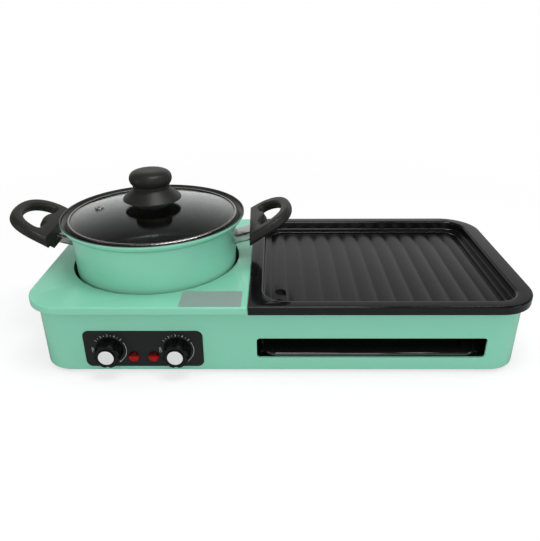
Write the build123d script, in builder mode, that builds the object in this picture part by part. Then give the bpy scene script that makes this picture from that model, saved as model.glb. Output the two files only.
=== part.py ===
"""Two-in-one table cooker: a lift-out hot pot with a glass lid beside a ribbed grill plate.

One long moulded housing holds a round heater for the pot on the left and a looped tube heater
under the grill plate on the right. Two thermostat knobs sit on a black panel at the front, and
a drip tray slides out of a slot below the grill plate.

Millimetres. +X is to the right, -Y is the front with the knobs, +Z is up, and the table is Z = 0.
"""
import os
from math import cos, radians, sin, sqrt

from build123d import *

os.makedirs("parts", exist_ok=True)

# ---------------------------------------------------------------- driving dimensions
HOUSING_LENGTH = 613.0      # over the top skirt, along X
HOUSING_WIDTH = 288.0       # over the top skirt, along Y
FOOT_HEIGHT = 4.2
DECK_HEIGHT = 97.5          # table to the top of the deck
SKIRT_HEIGHT = 9.0
SKIRT_OVERHANG = 9.5        # how far the skirt stands out from the body below it
SKIRT_CORNER = 50.0
BODY_CORNER = 39.5
MOULDED_WALL = 2.5
SHEET = 1.0                 # pressed steel

POT_OFFSET = 167.2          # pot axis, to the left of the housing's middle
POT_RIM_R = 120.0
POT_WALL_R = 108.5          # outside, just under the rim
POT_BASE_R = 107.0
POT_SINK = 14.0             # pot base below the deck
POT_TOP = 163.0
POT_HOLE_R = 111.5

POT_TURN = 1.5              # degrees that the pot stands turned in its round well
HANDLE_ROOT = 128.0         # pot axis to the handle's root face
HANDLE_TILT = 33.3          # degrees the loop rises at its root
HANDLE_BEND = 269.0         # radius of the arch that the loop follows outwards
HANDLE_LENGTH = 61.2        # root to tip, along the rise
HANDLE_THICKNESS = 13.0
HANDLE_ROUNDING = 5.0
HANDLE_ROOT_Z = 141.0

LID_R = 110.2               # over the steel band
LID_SEAT_Z = 155.5
LID_CROWN = 175.0           # top of the glass at the middle
GLASS = 4.0

PLATE_LEFT = 37.4           # the plate's left edge, to the left of the housing's middle
PLATE_PROUD = 0.9           # the plate's top above the deck

KNOB_DEPTH = 18.5           # panel to the knob's end
PANEL_PROUD = 0.8

# ---------------------------------------------------------------- worked out from them
# The origin is under the middle of everything: handle tip to plate edge, and knobs to skirt.
handle_rise = radians(HANDLE_TILT)
handle_dip = HANDLE_LENGTH ** 2 / (2 * HANDLE_BEND)
handle_reach = (HANDLE_ROOT + HANDLE_LENGTH * cos(handle_rise) + handle_dip * sin(handle_rise))
HOUSE_X = (POT_OFFSET + handle_reach - HOUSING_LENGTH / 2) / 2
body_length = HOUSING_LENGTH - 2 * SKIRT_OVERHANG
body_width = HOUSING_WIDTH - 2 * SKIRT_OVERHANG
HOUSE_Y = (body_width / 2 + PANEL_PROUD + KNOB_DEPTH - HOUSING_WIDTH / 2) / 2
front_y = HOUSE_Y - body_width / 2
rear_y = HOUSE_Y + body_width / 2
POT_X = HOUSE_X - POT_OFFSET
plate_z = DECK_HEIGHT + PLATE_PROUD
plate_rim = 3.0
shelf_z = plate_z - plate_rim           # the plate's rim rests here
body_top = shelf_z - MOULDED_WALL
pot_base_z = DECK_HEIGHT - POT_SINK


def level(height, x=HOUSE_X, y=HOUSE_Y):
    """A horizontal plane at this height, centred on x, y."""
    return Plane(origin=(x, y, height))


def front_plane(y, x, z):
    """An upright plane that faces the user: its own x is +X and its own y is +Z."""
    return Plane(origin=(x, y, z), x_dir=(1, 0, 0), z_dir=(0, -1, 0))


def write(piece, name):
    """Label a finished piece and write it as a STEP file of the same name."""
    piece.part.label = name
    export_step(piece.part, f"parts/{name}.step")


# ================================================================ housing
# ---- lower housing: one moulded shell, open at the top, with a flange for the bottom plate
FLANGE_WIDTH = 12.0
flange_z = FOOT_HEIGHT + 1.5
flange_top = flange_z + MOULDED_WALL

SLOT_LENGTH, SLOT_HEIGHT, SLOT_CORNER = 277.5, 27.6, 4.0
slot_x = HOUSE_X + 110.7
slot_bottom = 22.1

PANEL_LENGTH, PANEL_HEIGHT, PANEL_CORNER = 144.5, 50.6, 8.0
panel_x = HOUSE_X - 165.4
panel_z = 35.0
PANEL_GAP = 0.2

GLAND_R = 6.0
gland_x, gland_z = HOUSE_X - 58.5, 30.0

PAN_POST_R = 5.0
pan_z = 50.0
POST_X, POST_Y = 273.5, 95.0
web_length = body_length / 2 - POST_X - PAN_POST_R / 2 - MOULDED_WALL / 2

SCREW_R = 1.75
SCREW_FIT = 0.1
screw_points = [(x, y) for x in (-260, -60, 200) for y in (-126, 126)]

with BuildPart() as lower_housing:
    with BuildSketch(level(FOOT_HEIGHT)):
        RectangleRounded(body_length, body_width, BODY_CORNER)
    extrude(amount=body_top - FOOT_HEIGHT)
    fillet(lower_housing.faces().sort_by(Axis.Z)[0].edges(), 1.2)
    with BuildSketch(level(flange_top)):
        RectangleRounded(body_length - 2 * MOULDED_WALL, body_width - 2 * MOULDED_WALL,
                         BODY_CORNER - MOULDED_WALL)
    extrude(amount=body_top - flange_top, mode=Mode.SUBTRACT)
    with BuildSketch(level(FOOT_HEIGHT)):
        RectangleRounded(body_length - 2 * FLANGE_WIDTH, body_width - 2 * FLANGE_WIDTH,
                         BODY_CORNER - FLANGE_WIDTH)
    extrude(amount=flange_top - FOOT_HEIGHT, mode=Mode.SUBTRACT)
    with BuildSketch(level(FOOT_HEIGHT)):
        RectangleRounded(body_length - 2 * MOULDED_WALL, body_width - 2 * MOULDED_WALL,
                         BODY_CORNER - MOULDED_WALL)
    extrude(amount=flange_z - FOOT_HEIGHT, mode=Mode.SUBTRACT)
    # the tray slot, the panel window and the hole for the cord gland
    with BuildSketch(front_plane(front_y, slot_x, slot_bottom + SLOT_HEIGHT / 2)):
        RectangleRounded(SLOT_LENGTH, SLOT_HEIGHT, SLOT_CORNER)
    extrude(amount=2 * MOULDED_WALL, both=True, mode=Mode.SUBTRACT)
    with BuildSketch(front_plane(front_y, panel_x, panel_z)):
        RectangleRounded(PANEL_LENGTH + 2 * PANEL_GAP, PANEL_HEIGHT + 2 * PANEL_GAP, PANEL_CORNER)
    extrude(amount=2 * MOULDED_WALL, both=True, mode=Mode.SUBTRACT)
    with BuildSketch(front_plane(rear_y, gland_x, gland_z)):
        Circle(GLAND_R + SCREW_FIT)
    extrude(amount=2 * MOULDED_WALL, both=True, mode=Mode.SUBTRACT)
    # two posts that carry the right end of the reflector pan
    with BuildSketch(level(flange_z)):
        with Locations((POST_X, POST_Y), (POST_X, -POST_Y)):
            Circle(PAN_POST_R)
            with Locations((PAN_POST_R / 2, 0)):
                Rectangle(web_length, MOULDED_WALL, align=(Align.MIN, Align.CENTER))
    extrude(amount=pan_z - flange_z)
    with BuildSketch(level(flange_z)):
        with Locations(*screw_points):
            Circle(SCREW_R + SCREW_FIT)
    extrude(amount=MOULDED_WALL, mode=Mode.SUBTRACT)
write(lower_housing, "lower_housing")

# ---- top cover: the deck and skirt round the pot, and the sunk shelf that carries the grill plate
DECK_EDGE = PLATE_LEFT + 1.0            # the deck stops just short of the plate
DECK_ROUNDING = 2.0
shelf_left, shelf_right, shelf_half = -23.9, 289.0, 131.5
SHELF_CORNER = 30.0

with BuildPart() as top_cover:
    with BuildSketch(level(DECK_HEIGHT)):
        RectangleRounded(HOUSING_LENGTH, HOUSING_WIDTH, SKIRT_CORNER)
        with Locations((-DECK_EDGE, 0)):
            Rectangle(HOUSING_LENGTH, HOUSING_WIDTH, align=(Align.MIN, Align.CENTER),
                      mode=Mode.SUBTRACT)
    extrude(amount=-SKIRT_HEIGHT)
    rim = top_cover.faces().sort_by(Axis.Z)[-1].edges()
    deck_end = rim.sort_by(Axis.X)[-1]
    fillet(rim.filter_by(lambda edge: edge != deck_end), DECK_ROUNDING)
    with BuildSketch(level(DECK_HEIGHT - SKIRT_HEIGHT)):
        RectangleRounded(HOUSING_LENGTH - 2 * MOULDED_WALL, HOUSING_WIDTH - 2 * MOULDED_WALL,
                         SKIRT_CORNER - MOULDED_WALL)
        with Locations((-DECK_EDGE - MOULDED_WALL, 0)):
            Rectangle(HOUSING_LENGTH, HOUSING_WIDTH, align=(Align.MIN, Align.CENTER),
                      mode=Mode.SUBTRACT)
    extrude(amount=SKIRT_HEIGHT - MOULDED_WALL, mode=Mode.SUBTRACT)
    with BuildSketch(level(body_top)):
        RectangleRounded(body_length + 0.4, body_width + 0.4, BODY_CORNER)
    extrude(amount=-SKIRT_HEIGHT, mode=Mode.SUBTRACT)
    # the land that sits on the body's wall, all the way round
    with BuildSketch(level(body_top)):
        RectangleRounded(body_length, body_width, BODY_CORNER)
        RectangleRounded(body_length - 8, body_width - 8, BODY_CORNER - 4, mode=Mode.SUBTRACT)
    extrude(amount=shelf_z - body_top)
    # the shelf right of the deck, with the opening that the grill plate's well hangs through
    with BuildSketch(level(body_top)):
        RectangleRounded(body_length, body_width, BODY_CORNER)
        with Locations((-DECK_EDGE - MOULDED_WALL, 0)):
            Rectangle(HOUSING_LENGTH, HOUSING_WIDTH, align=(Align.MAX, Align.CENTER),
                      mode=Mode.SUBTRACT)
    extrude(amount=shelf_z - body_top)
    with BuildSketch(level(body_top, x=HOUSE_X + (shelf_left + shelf_right) / 2)):
        RectangleRounded(shelf_right - shelf_left, 2 * shelf_half, SHELF_CORNER)
    extrude(amount=DECK_HEIGHT - body_top, mode=Mode.SUBTRACT)
    # a rib inside the body's wall keeps the cover in place
    with BuildSketch(level(body_top)):
        RectangleRounded(body_length - 2 * MOULDED_WALL - 1, body_width - 2 * MOULDED_WALL - 1,
                         BODY_CORNER - MOULDED_WALL)
        RectangleRounded(body_length - 4 * MOULDED_WALL, body_width - 4 * MOULDED_WALL,
                         BODY_CORNER - 2 * MOULDED_WALL, mode=Mode.SUBTRACT)
        with Locations((-DECK_EDGE, 0)):
            Rectangle(HOUSING_LENGTH, HOUSING_WIDTH, align=(Align.MIN, Align.CENTER),
                      mode=Mode.SUBTRACT)
    extrude(amount=-5)
    with BuildSketch(level(DECK_HEIGHT, x=POT_X)):
        Circle(POT_HOLE_R)
    extrude(amount=-SKIRT_HEIGHT, mode=Mode.SUBTRACT)
    hole_edge = top_cover.edges().filter_by(GeomType.CIRCLE).filter_by(
        lambda edge: abs(edge.radius - POT_HOLE_R) < 0.01).sort_by(Axis.Z)[-1]
    fillet(hole_edge, 1.2)
write(top_cover, "top_cover")

# ---- bottom plate: pressed steel with louvre slots under both heaters
plate_fit = 0.4
FOOT_X, FOOT_Y, FOOT_R, FOOT_STEM_R = 262.0, 102.0, 9.0, 3.0
VENT_LENGTH, VENT_WIDTH, VENT_PITCH, VENT_ROWS = 60.0, 4.0, 12.0, 7
foot_points = [(x, y) for x in (-FOOT_X, FOOT_X) for y in (-FOOT_Y, FOOT_Y)]

with BuildPart() as bottom_plate:
    with BuildSketch(level(flange_z)):
        RectangleRounded(body_length - 2 * (MOULDED_WALL + plate_fit),
                         body_width - 2 * (MOULDED_WALL + plate_fit),
                         BODY_CORNER - MOULDED_WALL - plate_fit)
        with Locations((-POT_OFFSET, 0), (60, 0), (190, 0)):
            with GridLocations(0, VENT_PITCH, 1, VENT_ROWS):
                SlotOverall(VENT_LENGTH, VENT_WIDTH, mode=Mode.SUBTRACT)
        with Locations(*foot_points):
            Circle(FOOT_STEM_R + SCREW_FIT, mode=Mode.SUBTRACT)
        with Locations(*screw_points):
            Circle(SCREW_R + SCREW_FIT, mode=Mode.SUBTRACT)
    extrude(amount=-SHEET)
write(bottom_plate, "bottom_plate")
plate_under = flange_z - SHEET

# ---- four rubber feet: a tapered pad with a stem pushed through the bottom plate
for name, (foot_dx, foot_dy) in zip(("front_left", "rear_left", "front_right", "rear_right"),
                                    foot_points):
    with BuildPart() as foot:
        with BuildSketch(level(0, HOUSE_X + foot_dx, HOUSE_Y + foot_dy)):
            Circle(FOOT_R - 1)
        extrude(amount=plate_under, taper=-8)
        with BuildSketch(level(plate_under, HOUSE_X + foot_dx, HOUSE_Y + foot_dy)):
            Circle(FOOT_STEM_R)
        extrude(amount=SHEET + 2)
    write(foot, f"foot_{name}")

# ---- six pan-head screws hold the bottom plate to the flange
with BuildPart() as bottom_screws:
    with BuildSketch(level(plate_under)):
        with Locations(*screw_points):
            Circle(2 * SCREW_R)
    extrude(amount=-1.8)
    with BuildSketch(level(plate_under)):
        with Locations(*screw_points):
            Circle(SCREW_R)
    extrude(amount=SHEET + MOULDED_WALL)
write(bottom_screws, "bottom_screws")

# ---- control panel: a black moulding that fills the window, with a flange behind the wall
KNOB_X = (HOUSE_X - 206.8, HOUSE_X - 124.7)
LAMP_X = (HOUSE_X - 178.1, HOUSE_X - 153.9)
knob_z, lamp_z = 34.0, 24.8
BUSH_R, LAMP_STEM_R, LAMP_R = 4.5, 4.8, 6.5
panel_front = front_y - PANEL_PROUD
panel_back = front_y + MOULDED_WALL
PANEL_FLANGE = 2.0

with BuildPart() as control_panel:
    with BuildSketch(front_plane(panel_back, panel_x, panel_z)):
        RectangleRounded(PANEL_LENGTH, PANEL_HEIGHT, PANEL_CORNER)
    extrude(amount=panel_back - panel_front)
    fillet(control_panel.faces().sort_by(Axis.Y)[0].edges(), 0.6)
    with BuildSketch(front_plane(panel_back, panel_x, flange_top + 0.2)):
        Rectangle(PANEL_LENGTH + 8, PANEL_HEIGHT + 6, align=(Align.CENTER, Align.MIN))
    extrude(amount=-PANEL_FLANGE)
    with BuildSketch(front_plane(panel_back, 0, 0)):
        with Locations(*((x, knob_z) for x in KNOB_X)):
            Circle(BUSH_R + SCREW_FIT)
        with Locations(*((x, lamp_z) for x in LAMP_X)):
            Circle(LAMP_STEM_R + SCREW_FIT)
    extrude(amount=2 * (panel_back - panel_front), both=True, mode=Mode.SUBTRACT)
write(control_panel, "control_panel")
panel_rear = panel_back + PANEL_FLANGE

# ---- two indicator lamps: a red domed lens with its holder behind the panel
for name, x in zip(("left", "right"), LAMP_X):
    with BuildPart() as lamp:
        with BuildSketch(front_plane(panel_front, x, lamp_z)):
            Circle(LAMP_R)
        extrude(amount=3.5)
        fillet(lamp.faces().sort_by(Axis.Y)[0].edges(), 2.4)
        with BuildSketch(front_plane(panel_front, x, lamp_z)):
            Circle(LAMP_STEM_R)
        extrude(amount=-20)
    write(lamp, f"lamp_{name}")

# ---- two thermostats behind the panel: a bush through it, and a boxed switch body
SHAFT_R, SHAFT_FIT = 3.0, 0.06
THERMO_WIDTH, THERMO_HEIGHT, THERMO_DEPTH = 32.0, 28.0, 24.0
TAB_SPACING, TAB_RISE, TAB_WIDTH, TAB_SHEET, TAB_LENGTH = 18.0, 12.0, 6.0, 1.0, 7.0
shaft_rear = panel_rear + THERMO_DEPTH - 6

for name, x in zip(("left", "right"), KNOB_X):
    with BuildPart() as thermostat:
        with BuildSketch(front_plane(panel_rear, x, knob_z)):
            RectangleRounded(THERMO_WIDTH, THERMO_HEIGHT, 2)
        extrude(amount=-THERMO_DEPTH)
        with BuildSketch(front_plane(panel_rear, x, knob_z)):
            Circle(BUSH_R)
        extrude(amount=panel_rear - panel_front)
        with BuildSketch(front_plane(panel_rear + THERMO_DEPTH, x, knob_z)):
            with GridLocations(TAB_SPACING, TAB_RISE, 2, 2):
                Rectangle(TAB_WIDTH, TAB_SHEET)
        extrude(amount=-TAB_LENGTH)
        with BuildSketch(front_plane(panel_front, x, knob_z)):
            Circle(SHAFT_R + SHAFT_FIT)
        extrude(amount=-(shaft_rear - panel_front) - 0.5, mode=Mode.SUBTRACT)
    write(thermostat, f"thermostat_{name}")

# ================================================================ pot heater
# ---- heater dish: a drawn steel bowl under the deck's hole, hung by its flange
DISH_R = 112.5
dish_floor = 64.0
DISH_CORNER = 8.0
dish_top = DECK_HEIGHT - MOULDED_WALL
DISH_FLANGE = 7.0
STUD_R, STUD_CIRCLE, STUD_HOLE = 4.0, 70.0, 14.0
HEATER_R, HEATER_DEPTH = 92.0, 10.0
heater_under = pot_base_z - HEATER_DEPTH


def spindle(x, y=HOUSE_Y):
    """The upright plane for a turned profile: its x is the radius and its y is the height."""
    return front_plane(y, x, 0)


def turn(x, y=HOUSE_Y):
    """Turn the profile just drawn about the upright axis through x, y."""
    revolve(axis=Axis((x, y, 0), (0, 0, 1)))


def near(outline, x, y):
    """The corner of a drawn outline that is nearest to this point, for a fillet."""
    return outline.vertices().sort_by_distance((x, y))[0]


with BuildPart() as heater_dish:
    with BuildSketch(spindle(POT_X)) as dish_section:
        with BuildLine():
            Polyline((STUD_HOLE, dish_floor), (DISH_R, dish_floor), (DISH_R, dish_top),
                     (DISH_R + DISH_FLANGE, dish_top), (DISH_R + DISH_FLANGE, dish_top - SHEET),
                     (DISH_R + SHEET, dish_top - SHEET), (DISH_R + SHEET, dish_floor - SHEET),
                     (STUD_HOLE, dish_floor - SHEET), close=True)
        make_face()
        fillet(near(dish_section, DISH_R, dish_floor), DISH_CORNER)
        fillet(near(dish_section, DISH_R + SHEET, dish_floor - SHEET), DISH_CORNER + SHEET)
    turn(POT_X)
    with BuildSketch(level(dish_floor, x=POT_X)):
        with PolarLocations(STUD_CIRCLE, 3):
            Circle(SCREW_R + SCREW_FIT)
    extrude(amount=-SHEET, mode=Mode.SUBTRACT)
write(heater_dish, "heater_dish")

# ---- pot heater: a cast aluminium disc with the tube heater cast in as a ring below it
RING_R, TUBE_R = 74.0, 3.25
TERMINAL_SPACING, TERMINAL_LENGTH = 20.0, 22.0

with BuildPart() as pot_heater:
    with BuildSketch(level(heater_under, x=POT_X)):
        Circle(HEATER_R)
    extrude(amount=HEATER_DEPTH)
    fillet(pot_heater.faces().sort_by(Axis.Z)[-1].edges(), 1.5)
    with BuildSketch(spindle(POT_X)):
        with Locations((RING_R, heater_under)):
            Circle(TUBE_R + 1.5)
    turn(POT_X)
    with BuildSketch(level(heater_under, x=POT_X)):
        with GridLocations(TERMINAL_SPACING, 0, 2, 1):
            Circle(TUBE_R)
    extrude(amount=-TERMINAL_LENGTH)
write(pot_heater, "pot_heater")

# ---- three studs stand the heater off the floor of the dish
with BuildPart() as heater_studs:
    with BuildSketch(level(dish_floor, x=POT_X)):
        with PolarLocations(STUD_CIRCLE - 12, 3, start_angle=30):
            Circle(STUD_R)
    extrude(amount=heater_under - dish_floor)
write(heater_studs, "heater_studs")

# ================================================================ grill heater and its pan
# ---- where the tube heater runs, under the floor of the grill plate's well
WELL_DEPTH = 20.5
HEATER_GAP = 0.5
element_z = plate_z - WELL_DEPTH - HEATER_GAP - TUBE_R
RUN_PITCH = 50.0
run_y = [HOUSE_Y + RUN_PITCH * (row - 1.5) for row in range(4)]

# ---- heat shield: a steel wall between the two halves, with a fold that carries the pan
shield_x = HOUSE_X - 32.5
shield_top = body_top - 9.0
SHIELD_FOLD = 9.0
pan_left = shield_x + 2 * SHEET
shield_half = body_width / 2 - FLANGE_WIDTH - 1

with BuildPart() as heat_shield:
    with BuildSketch(front_plane(HOUSE_Y, 0, 0)):
        with Locations((shield_x, flange_z)):
            Rectangle(SHEET, shield_top - flange_z, align=(Align.MIN, Align.MIN))
            Rectangle(SHIELD_FOLD, SHEET, align=(Align.MAX, Align.MIN))
        with Locations((shield_x, pan_z)):
            Rectangle(SHIELD_FOLD, SHEET, align=(Align.MIN, Align.MAX))
    extrude(amount=shield_half, both=True)
    # the ends of the tube heater pass through two holes
    with BuildSketch(Plane.YZ.offset(shield_x)):
        with Locations((run_y[0], element_z), (run_y[-1], element_z)):
            Circle(2 * TUBE_R)
    extrude(amount=2 * SHEET, both=True, mode=Mode.SUBTRACT)
write(heat_shield, "heat_shield")

# ---- reflector pan under the tube heater, with a hole below the plate's drain
PAN_WALL, PAN_CORNER, PAN_SHEET = 18.0, 24.0, 0.8
pan_right, pan_half = HOUSE_X + 289.5, 126.0
pan_mid = (pan_left + pan_right) / 2
pan_length = pan_right - pan_left
drain_x, drain_y = HOUSE_X - 0.9, HOUSE_Y - 98.0
PAN_DRAIN_R = 12.0

with BuildPart() as reflector_pan:
    with BuildSketch(level(pan_z, x=pan_mid)):
        RectangleRounded(pan_length, 2 * pan_half, PAN_CORNER)
    extrude(amount=PAN_WALL)
    with BuildSketch(level(pan_z + PAN_SHEET, x=pan_mid)):
        RectangleRounded(pan_length - 2 * PAN_SHEET, 2 * (pan_half - PAN_SHEET),
                         PAN_CORNER - PAN_SHEET)
    extrude(amount=PAN_WALL, mode=Mode.SUBTRACT)
    with BuildSketch(level(pan_z, drain_x, drain_y)):
        Circle(PAN_DRAIN_R)
    extrude(amount=PAN_SHEET, mode=Mode.SUBTRACT)
write(reflector_pan, "reflector_pan")

# ---- tube heater: four runs along the plate, joined by half turns, its ends through the shield
turn_left, turn_right = HOUSE_X + 23.5, HOUSE_X + 246.5
end_x = shield_x - 14.0

with BuildPart() as grill_heater:
    with BuildLine():
        Line((end_x, run_y[0], element_z), (turn_right, run_y[0], element_z))
        ThreePointArc((turn_right, run_y[0], element_z),
                      (turn_right + RUN_PITCH / 2, run_y[0] + RUN_PITCH / 2, element_z),
                      (turn_right, run_y[1], element_z))
        Line((turn_right, run_y[1], element_z), (turn_left, run_y[1], element_z))
        ThreePointArc((turn_left, run_y[1], element_z),
                      (turn_left - RUN_PITCH / 2, run_y[1] + RUN_PITCH / 2, element_z),
                      (turn_left, run_y[2], element_z))
        Line((turn_left, run_y[2], element_z), (turn_right, run_y[2], element_z))
        ThreePointArc((turn_right, run_y[2], element_z),
                      (turn_right + RUN_PITCH / 2, run_y[2] + RUN_PITCH / 2, element_z),
                      (turn_right, run_y[3], element_z))
        Line((turn_right, run_y[3], element_z), (end_x, run_y[3], element_z))
    with BuildSketch(Plane(origin=(end_x, run_y[0], element_z), z_dir=(1, 0, 0))):
        Circle(TUBE_R)
    sweep()
write(grill_heater, "grill_heater")

# ---- four ceramic saddles hold the tube heater above the pan
SADDLE = 10.0
saddle_x = (turn_left + turn_right) / 2
with BuildPart() as heater_saddles:
    with BuildSketch(level(pan_z + PAN_SHEET, saddle_x)):
        with GridLocations(0, RUN_PITCH, 1, len(run_y)):
            Rectangle(SADDLE, SADDLE)
    extrude(amount=element_z - pan_z - PAN_SHEET)
    with BuildSketch(Plane(origin=(saddle_x, 0, element_z), z_dir=(1, 0, 0), x_dir=(0, 1, 0))):
        with Locations(*((y, 0) for y in run_y)):
            Circle(TUBE_R)
    extrude(amount=SADDLE, both=True, mode=Mode.SUBTRACT)
write(heater_saddles, "heater_saddles")

# ================================================================ drip tray and its rails
tray_floor_z = slot_bottom + 0.5
TRAY_LENGTH, TRAY_DEPTH, TRAY_CORNER, TRAY_SHEET = 266.0, 210.0, 18.0, 1.0
TRAY_APRON, TRAY_STEP, TRAY_WALL, TRAY_HEM = 14.0, 4.2, 15.5, 2.6
TRAY_ROUNDING = 2.2
tray_front = front_y + 3.0
tray_y = tray_front + TRAY_DEPTH / 2
RAIL_WIDTH = 8.0

with BuildPart() as drip_tray:
    with BuildSketch(level(tray_floor_z, slot_x, tray_y)):
        RectangleRounded(TRAY_LENGTH, TRAY_DEPTH, TRAY_CORNER)
    extrude(amount=TRAY_STEP)
    fillet(drip_tray.faces().sort_by(Axis.Z)[-1].edges(), TRAY_ROUNDING)
    with BuildSketch(level(tray_floor_z + TRAY_SHEET, slot_x, tray_y)):
        RectangleRounded(TRAY_LENGTH - 2 * TRAY_APRON, TRAY_DEPTH - 2 * TRAY_APRON,
                         TRAY_CORNER - 6)
    extrude(amount=TRAY_STEP, mode=Mode.SUBTRACT)
    # the apron is hollow underneath, behind a turned-down hem that slides on the rails
    with BuildSketch(level(tray_floor_z, slot_x, tray_y)):
        RectangleRounded(TRAY_LENGTH - 2 * TRAY_HEM, TRAY_DEPTH - 2 * TRAY_HEM,
                         TRAY_CORNER - TRAY_HEM)
        RectangleRounded(TRAY_LENGTH - 2 * TRAY_APRON + 2 * TRAY_SHEET,
                         TRAY_DEPTH - 2 * TRAY_APRON + 2 * TRAY_SHEET, TRAY_CORNER - 5,
                         mode=Mode.SUBTRACT)
    extrude(amount=TRAY_STEP - TRAY_SHEET, mode=Mode.SUBTRACT)
    # walls on three sides keep splashes in; the front stays low as the pull
    with BuildSketch(level(tray_floor_z + TRAY_STEP - 1, slot_x, tray_y)):
        RectangleRounded(TRAY_LENGTH, TRAY_DEPTH, TRAY_CORNER)
        RectangleRounded(TRAY_LENGTH - 2 * TRAY_SHEET, TRAY_DEPTH - 2 * TRAY_SHEET,
                         TRAY_CORNER - TRAY_SHEET, mode=Mode.SUBTRACT)
        with Locations((0, -TRAY_DEPTH / 2)):
            Rectangle(TRAY_LENGTH, 2 * TRAY_CORNER + 6, mode=Mode.SUBTRACT)
    extrude(amount=TRAY_WALL - TRAY_STEP + 1)
write(drip_tray, "drip_tray")

rail_front = front_y + FLANGE_WIDTH + 0.5
RAIL_LENGTH = 205.0
for name, side in (("left", -1), ("right", 1)):
    rail_x = slot_x + side * (TRAY_LENGTH / 2 - RAIL_WIDTH / 2)
    with BuildPart() as rail:
        with BuildSketch(front_plane(rail_front, rail_x, 0)):
            with Locations((0, tray_floor_z)):
                Rectangle(RAIL_WIDTH, SHEET, align=(Align.CENTER, Align.MAX))
            with Locations((side * RAIL_WIDTH / 2, flange_z)):
                Rectangle(SHEET, tray_floor_z - flange_z,
                          align=(Align.MIN if side > 0 else Align.MAX, Align.MIN))
        extrude(amount=-RAIL_LENGTH)
    write(rail, f"tray_rail_{name}")

# ================================================================ wiring
# ---- cord gland: a bush through the rear wall, with a flange outside and a nut inside
CORD_R = 3.6
GLAND_FLANGE_R, GLAND_FLANGE, GLAND_REACH, GLAND_INSIDE = 9.0, 3.0, 8.0, 9.0

with BuildPart() as cord_gland:
    with BuildSketch(level(gland_z, gland_x, rear_y)):
        with BuildLine():
            Polyline((CORD_R, -GLAND_INSIDE), (GLAND_R, -GLAND_INSIDE), (GLAND_R, 0),
                     (GLAND_FLANGE_R, 0), (GLAND_FLANGE_R, GLAND_FLANGE),
                     (GLAND_R + 1, GLAND_FLANGE), (GLAND_R - 0.8, GLAND_REACH),
                     (CORD_R, GLAND_REACH), close=True)
        make_face()
    revolve(axis=Axis((gland_x, rear_y, gland_z), (0, 1, 0)))
write(cord_gland, "cord_gland")

# ---- terminal block on the bottom plate, behind the gland
BLOCK_POLES, BLOCK_PITCH, BLOCK_HEIGHT, BLOCK_HALF = 3, 10.0, 16.0, 9.0
block_x, block_y = gland_x - 40.0, rear_y - 40.0

with BuildPart() as terminal_block:
    with BuildSketch(level(flange_z, block_x, block_y)):
        RectangleRounded(BLOCK_POLES * BLOCK_PITCH + 6, 2 * BLOCK_HALF, 2)
    extrude(amount=BLOCK_HEIGHT)
    with BuildSketch(level(flange_z + BLOCK_HEIGHT, block_x, block_y)):
        with GridLocations(BLOCK_PITCH, 0, BLOCK_POLES, 1):
            Circle(3)
    extrude(amount=-8, mode=Mode.SUBTRACT)
write(terminal_block, "terminal_block")

# ---- wires from the block to the two thermostats, along the floor of the housing
WIRE_R = 1.5
wire_z = flange_z + 6.0
WIRE_RUN, WIRE_SPACING = 60.0, 15.0
with BuildPart() as wiring:
    for pole, knob_x in zip((-1, 1), KNOB_X):
        tab_x = knob_x + TAB_SPACING / 2
        tab = (tab_x, panel_rear + THERMO_DEPTH + TAB_LENGTH, knob_z - TAB_RISE / 2)
        start = (block_x + pole * BLOCK_PITCH, block_y - BLOCK_HALF, wire_z)
        across_y = start[1] - WIRE_RUN - WIRE_SPACING * pole
        with BuildLine():
            FilletPolyline(start, (start[0], across_y, wire_z), (tab_x, across_y, wire_z),
                           (tab_x, tab[1] + 16, wire_z), (tab_x, tab[1] + 10, tab[2]), tab,
                           radius=3.0)
        with BuildSketch(front_plane(start[1], start[0], wire_z)):
            Circle(WIRE_R)
        sweep()
write(wiring, "wiring")

# ================================================================ grill plate
# ---- one aluminium casting: a flat rim with its own skirt, a deep well with a sloping ledge,
#      a drain channel, thirteen crowned ribs, and a sump with a drain hole in one corner
RIM_LEFT, RIM_RIGHT, RIM_FRONT = 14.5, 18.5, 13.0
PLATE_SKIRT = 10.8
plate_right = HOUSING_LENGTH / 2
ROLL_R = 3.0
LEDGE_DEPTH, LEDGE_WIDTH, LEDGE_SLOPE = 12.0, 9.4, 2.0
CHANNEL_DEPTH, CHANNEL_WIDTH = 17.5, 3.8
RIB_PITCH, GROOVES, GROOVE_WIDTH = 22.1, 12, 1.8
GROOVE_DEPTH, CROWN_DEPTH = 16.6, 13.2
WELL_CORNER = 28.0
LEDGE_ROUNDING, WALL_ROUNDING = 1.6, 2.4
DRAIN_R = 4.0
SUMP_WIDTH, SUMP_LENGTH = 17.0, 46.0

well_left, well_right = -PLATE_LEFT + RIM_LEFT, plate_right - RIM_RIGHT
well_mid = HOUSE_X + (well_left + well_right) / 2
well_length = well_right - well_left - 2 * ROLL_R
well_width = HOUSING_WIDTH - 2 * RIM_FRONT - 2 * ROLL_R
plate_mid = HOUSE_X + (plate_right - PLATE_LEFT) / 2
floor_length = well_length - 2 * LEDGE_WIDTH
floor_width = well_width - 2 * LEDGE_WIDTH
floor_corner = WELL_CORNER - LEDGE_WIDTH
field_length = floor_length - 2 * CHANNEL_WIDTH
field_width = floor_width - 2 * CHANNEL_WIDTH
CAST_WALL = 2.5

# the ribs: one crowned ridge between each pair of grooves, and their ends sloped off
groove_x = [RIB_PITCH * (n - (GROOVES - 1) / 2) for n in range(GROOVES)]
ridge_edges = [-field_length / 2, *groove_x, field_length / 2]

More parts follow.
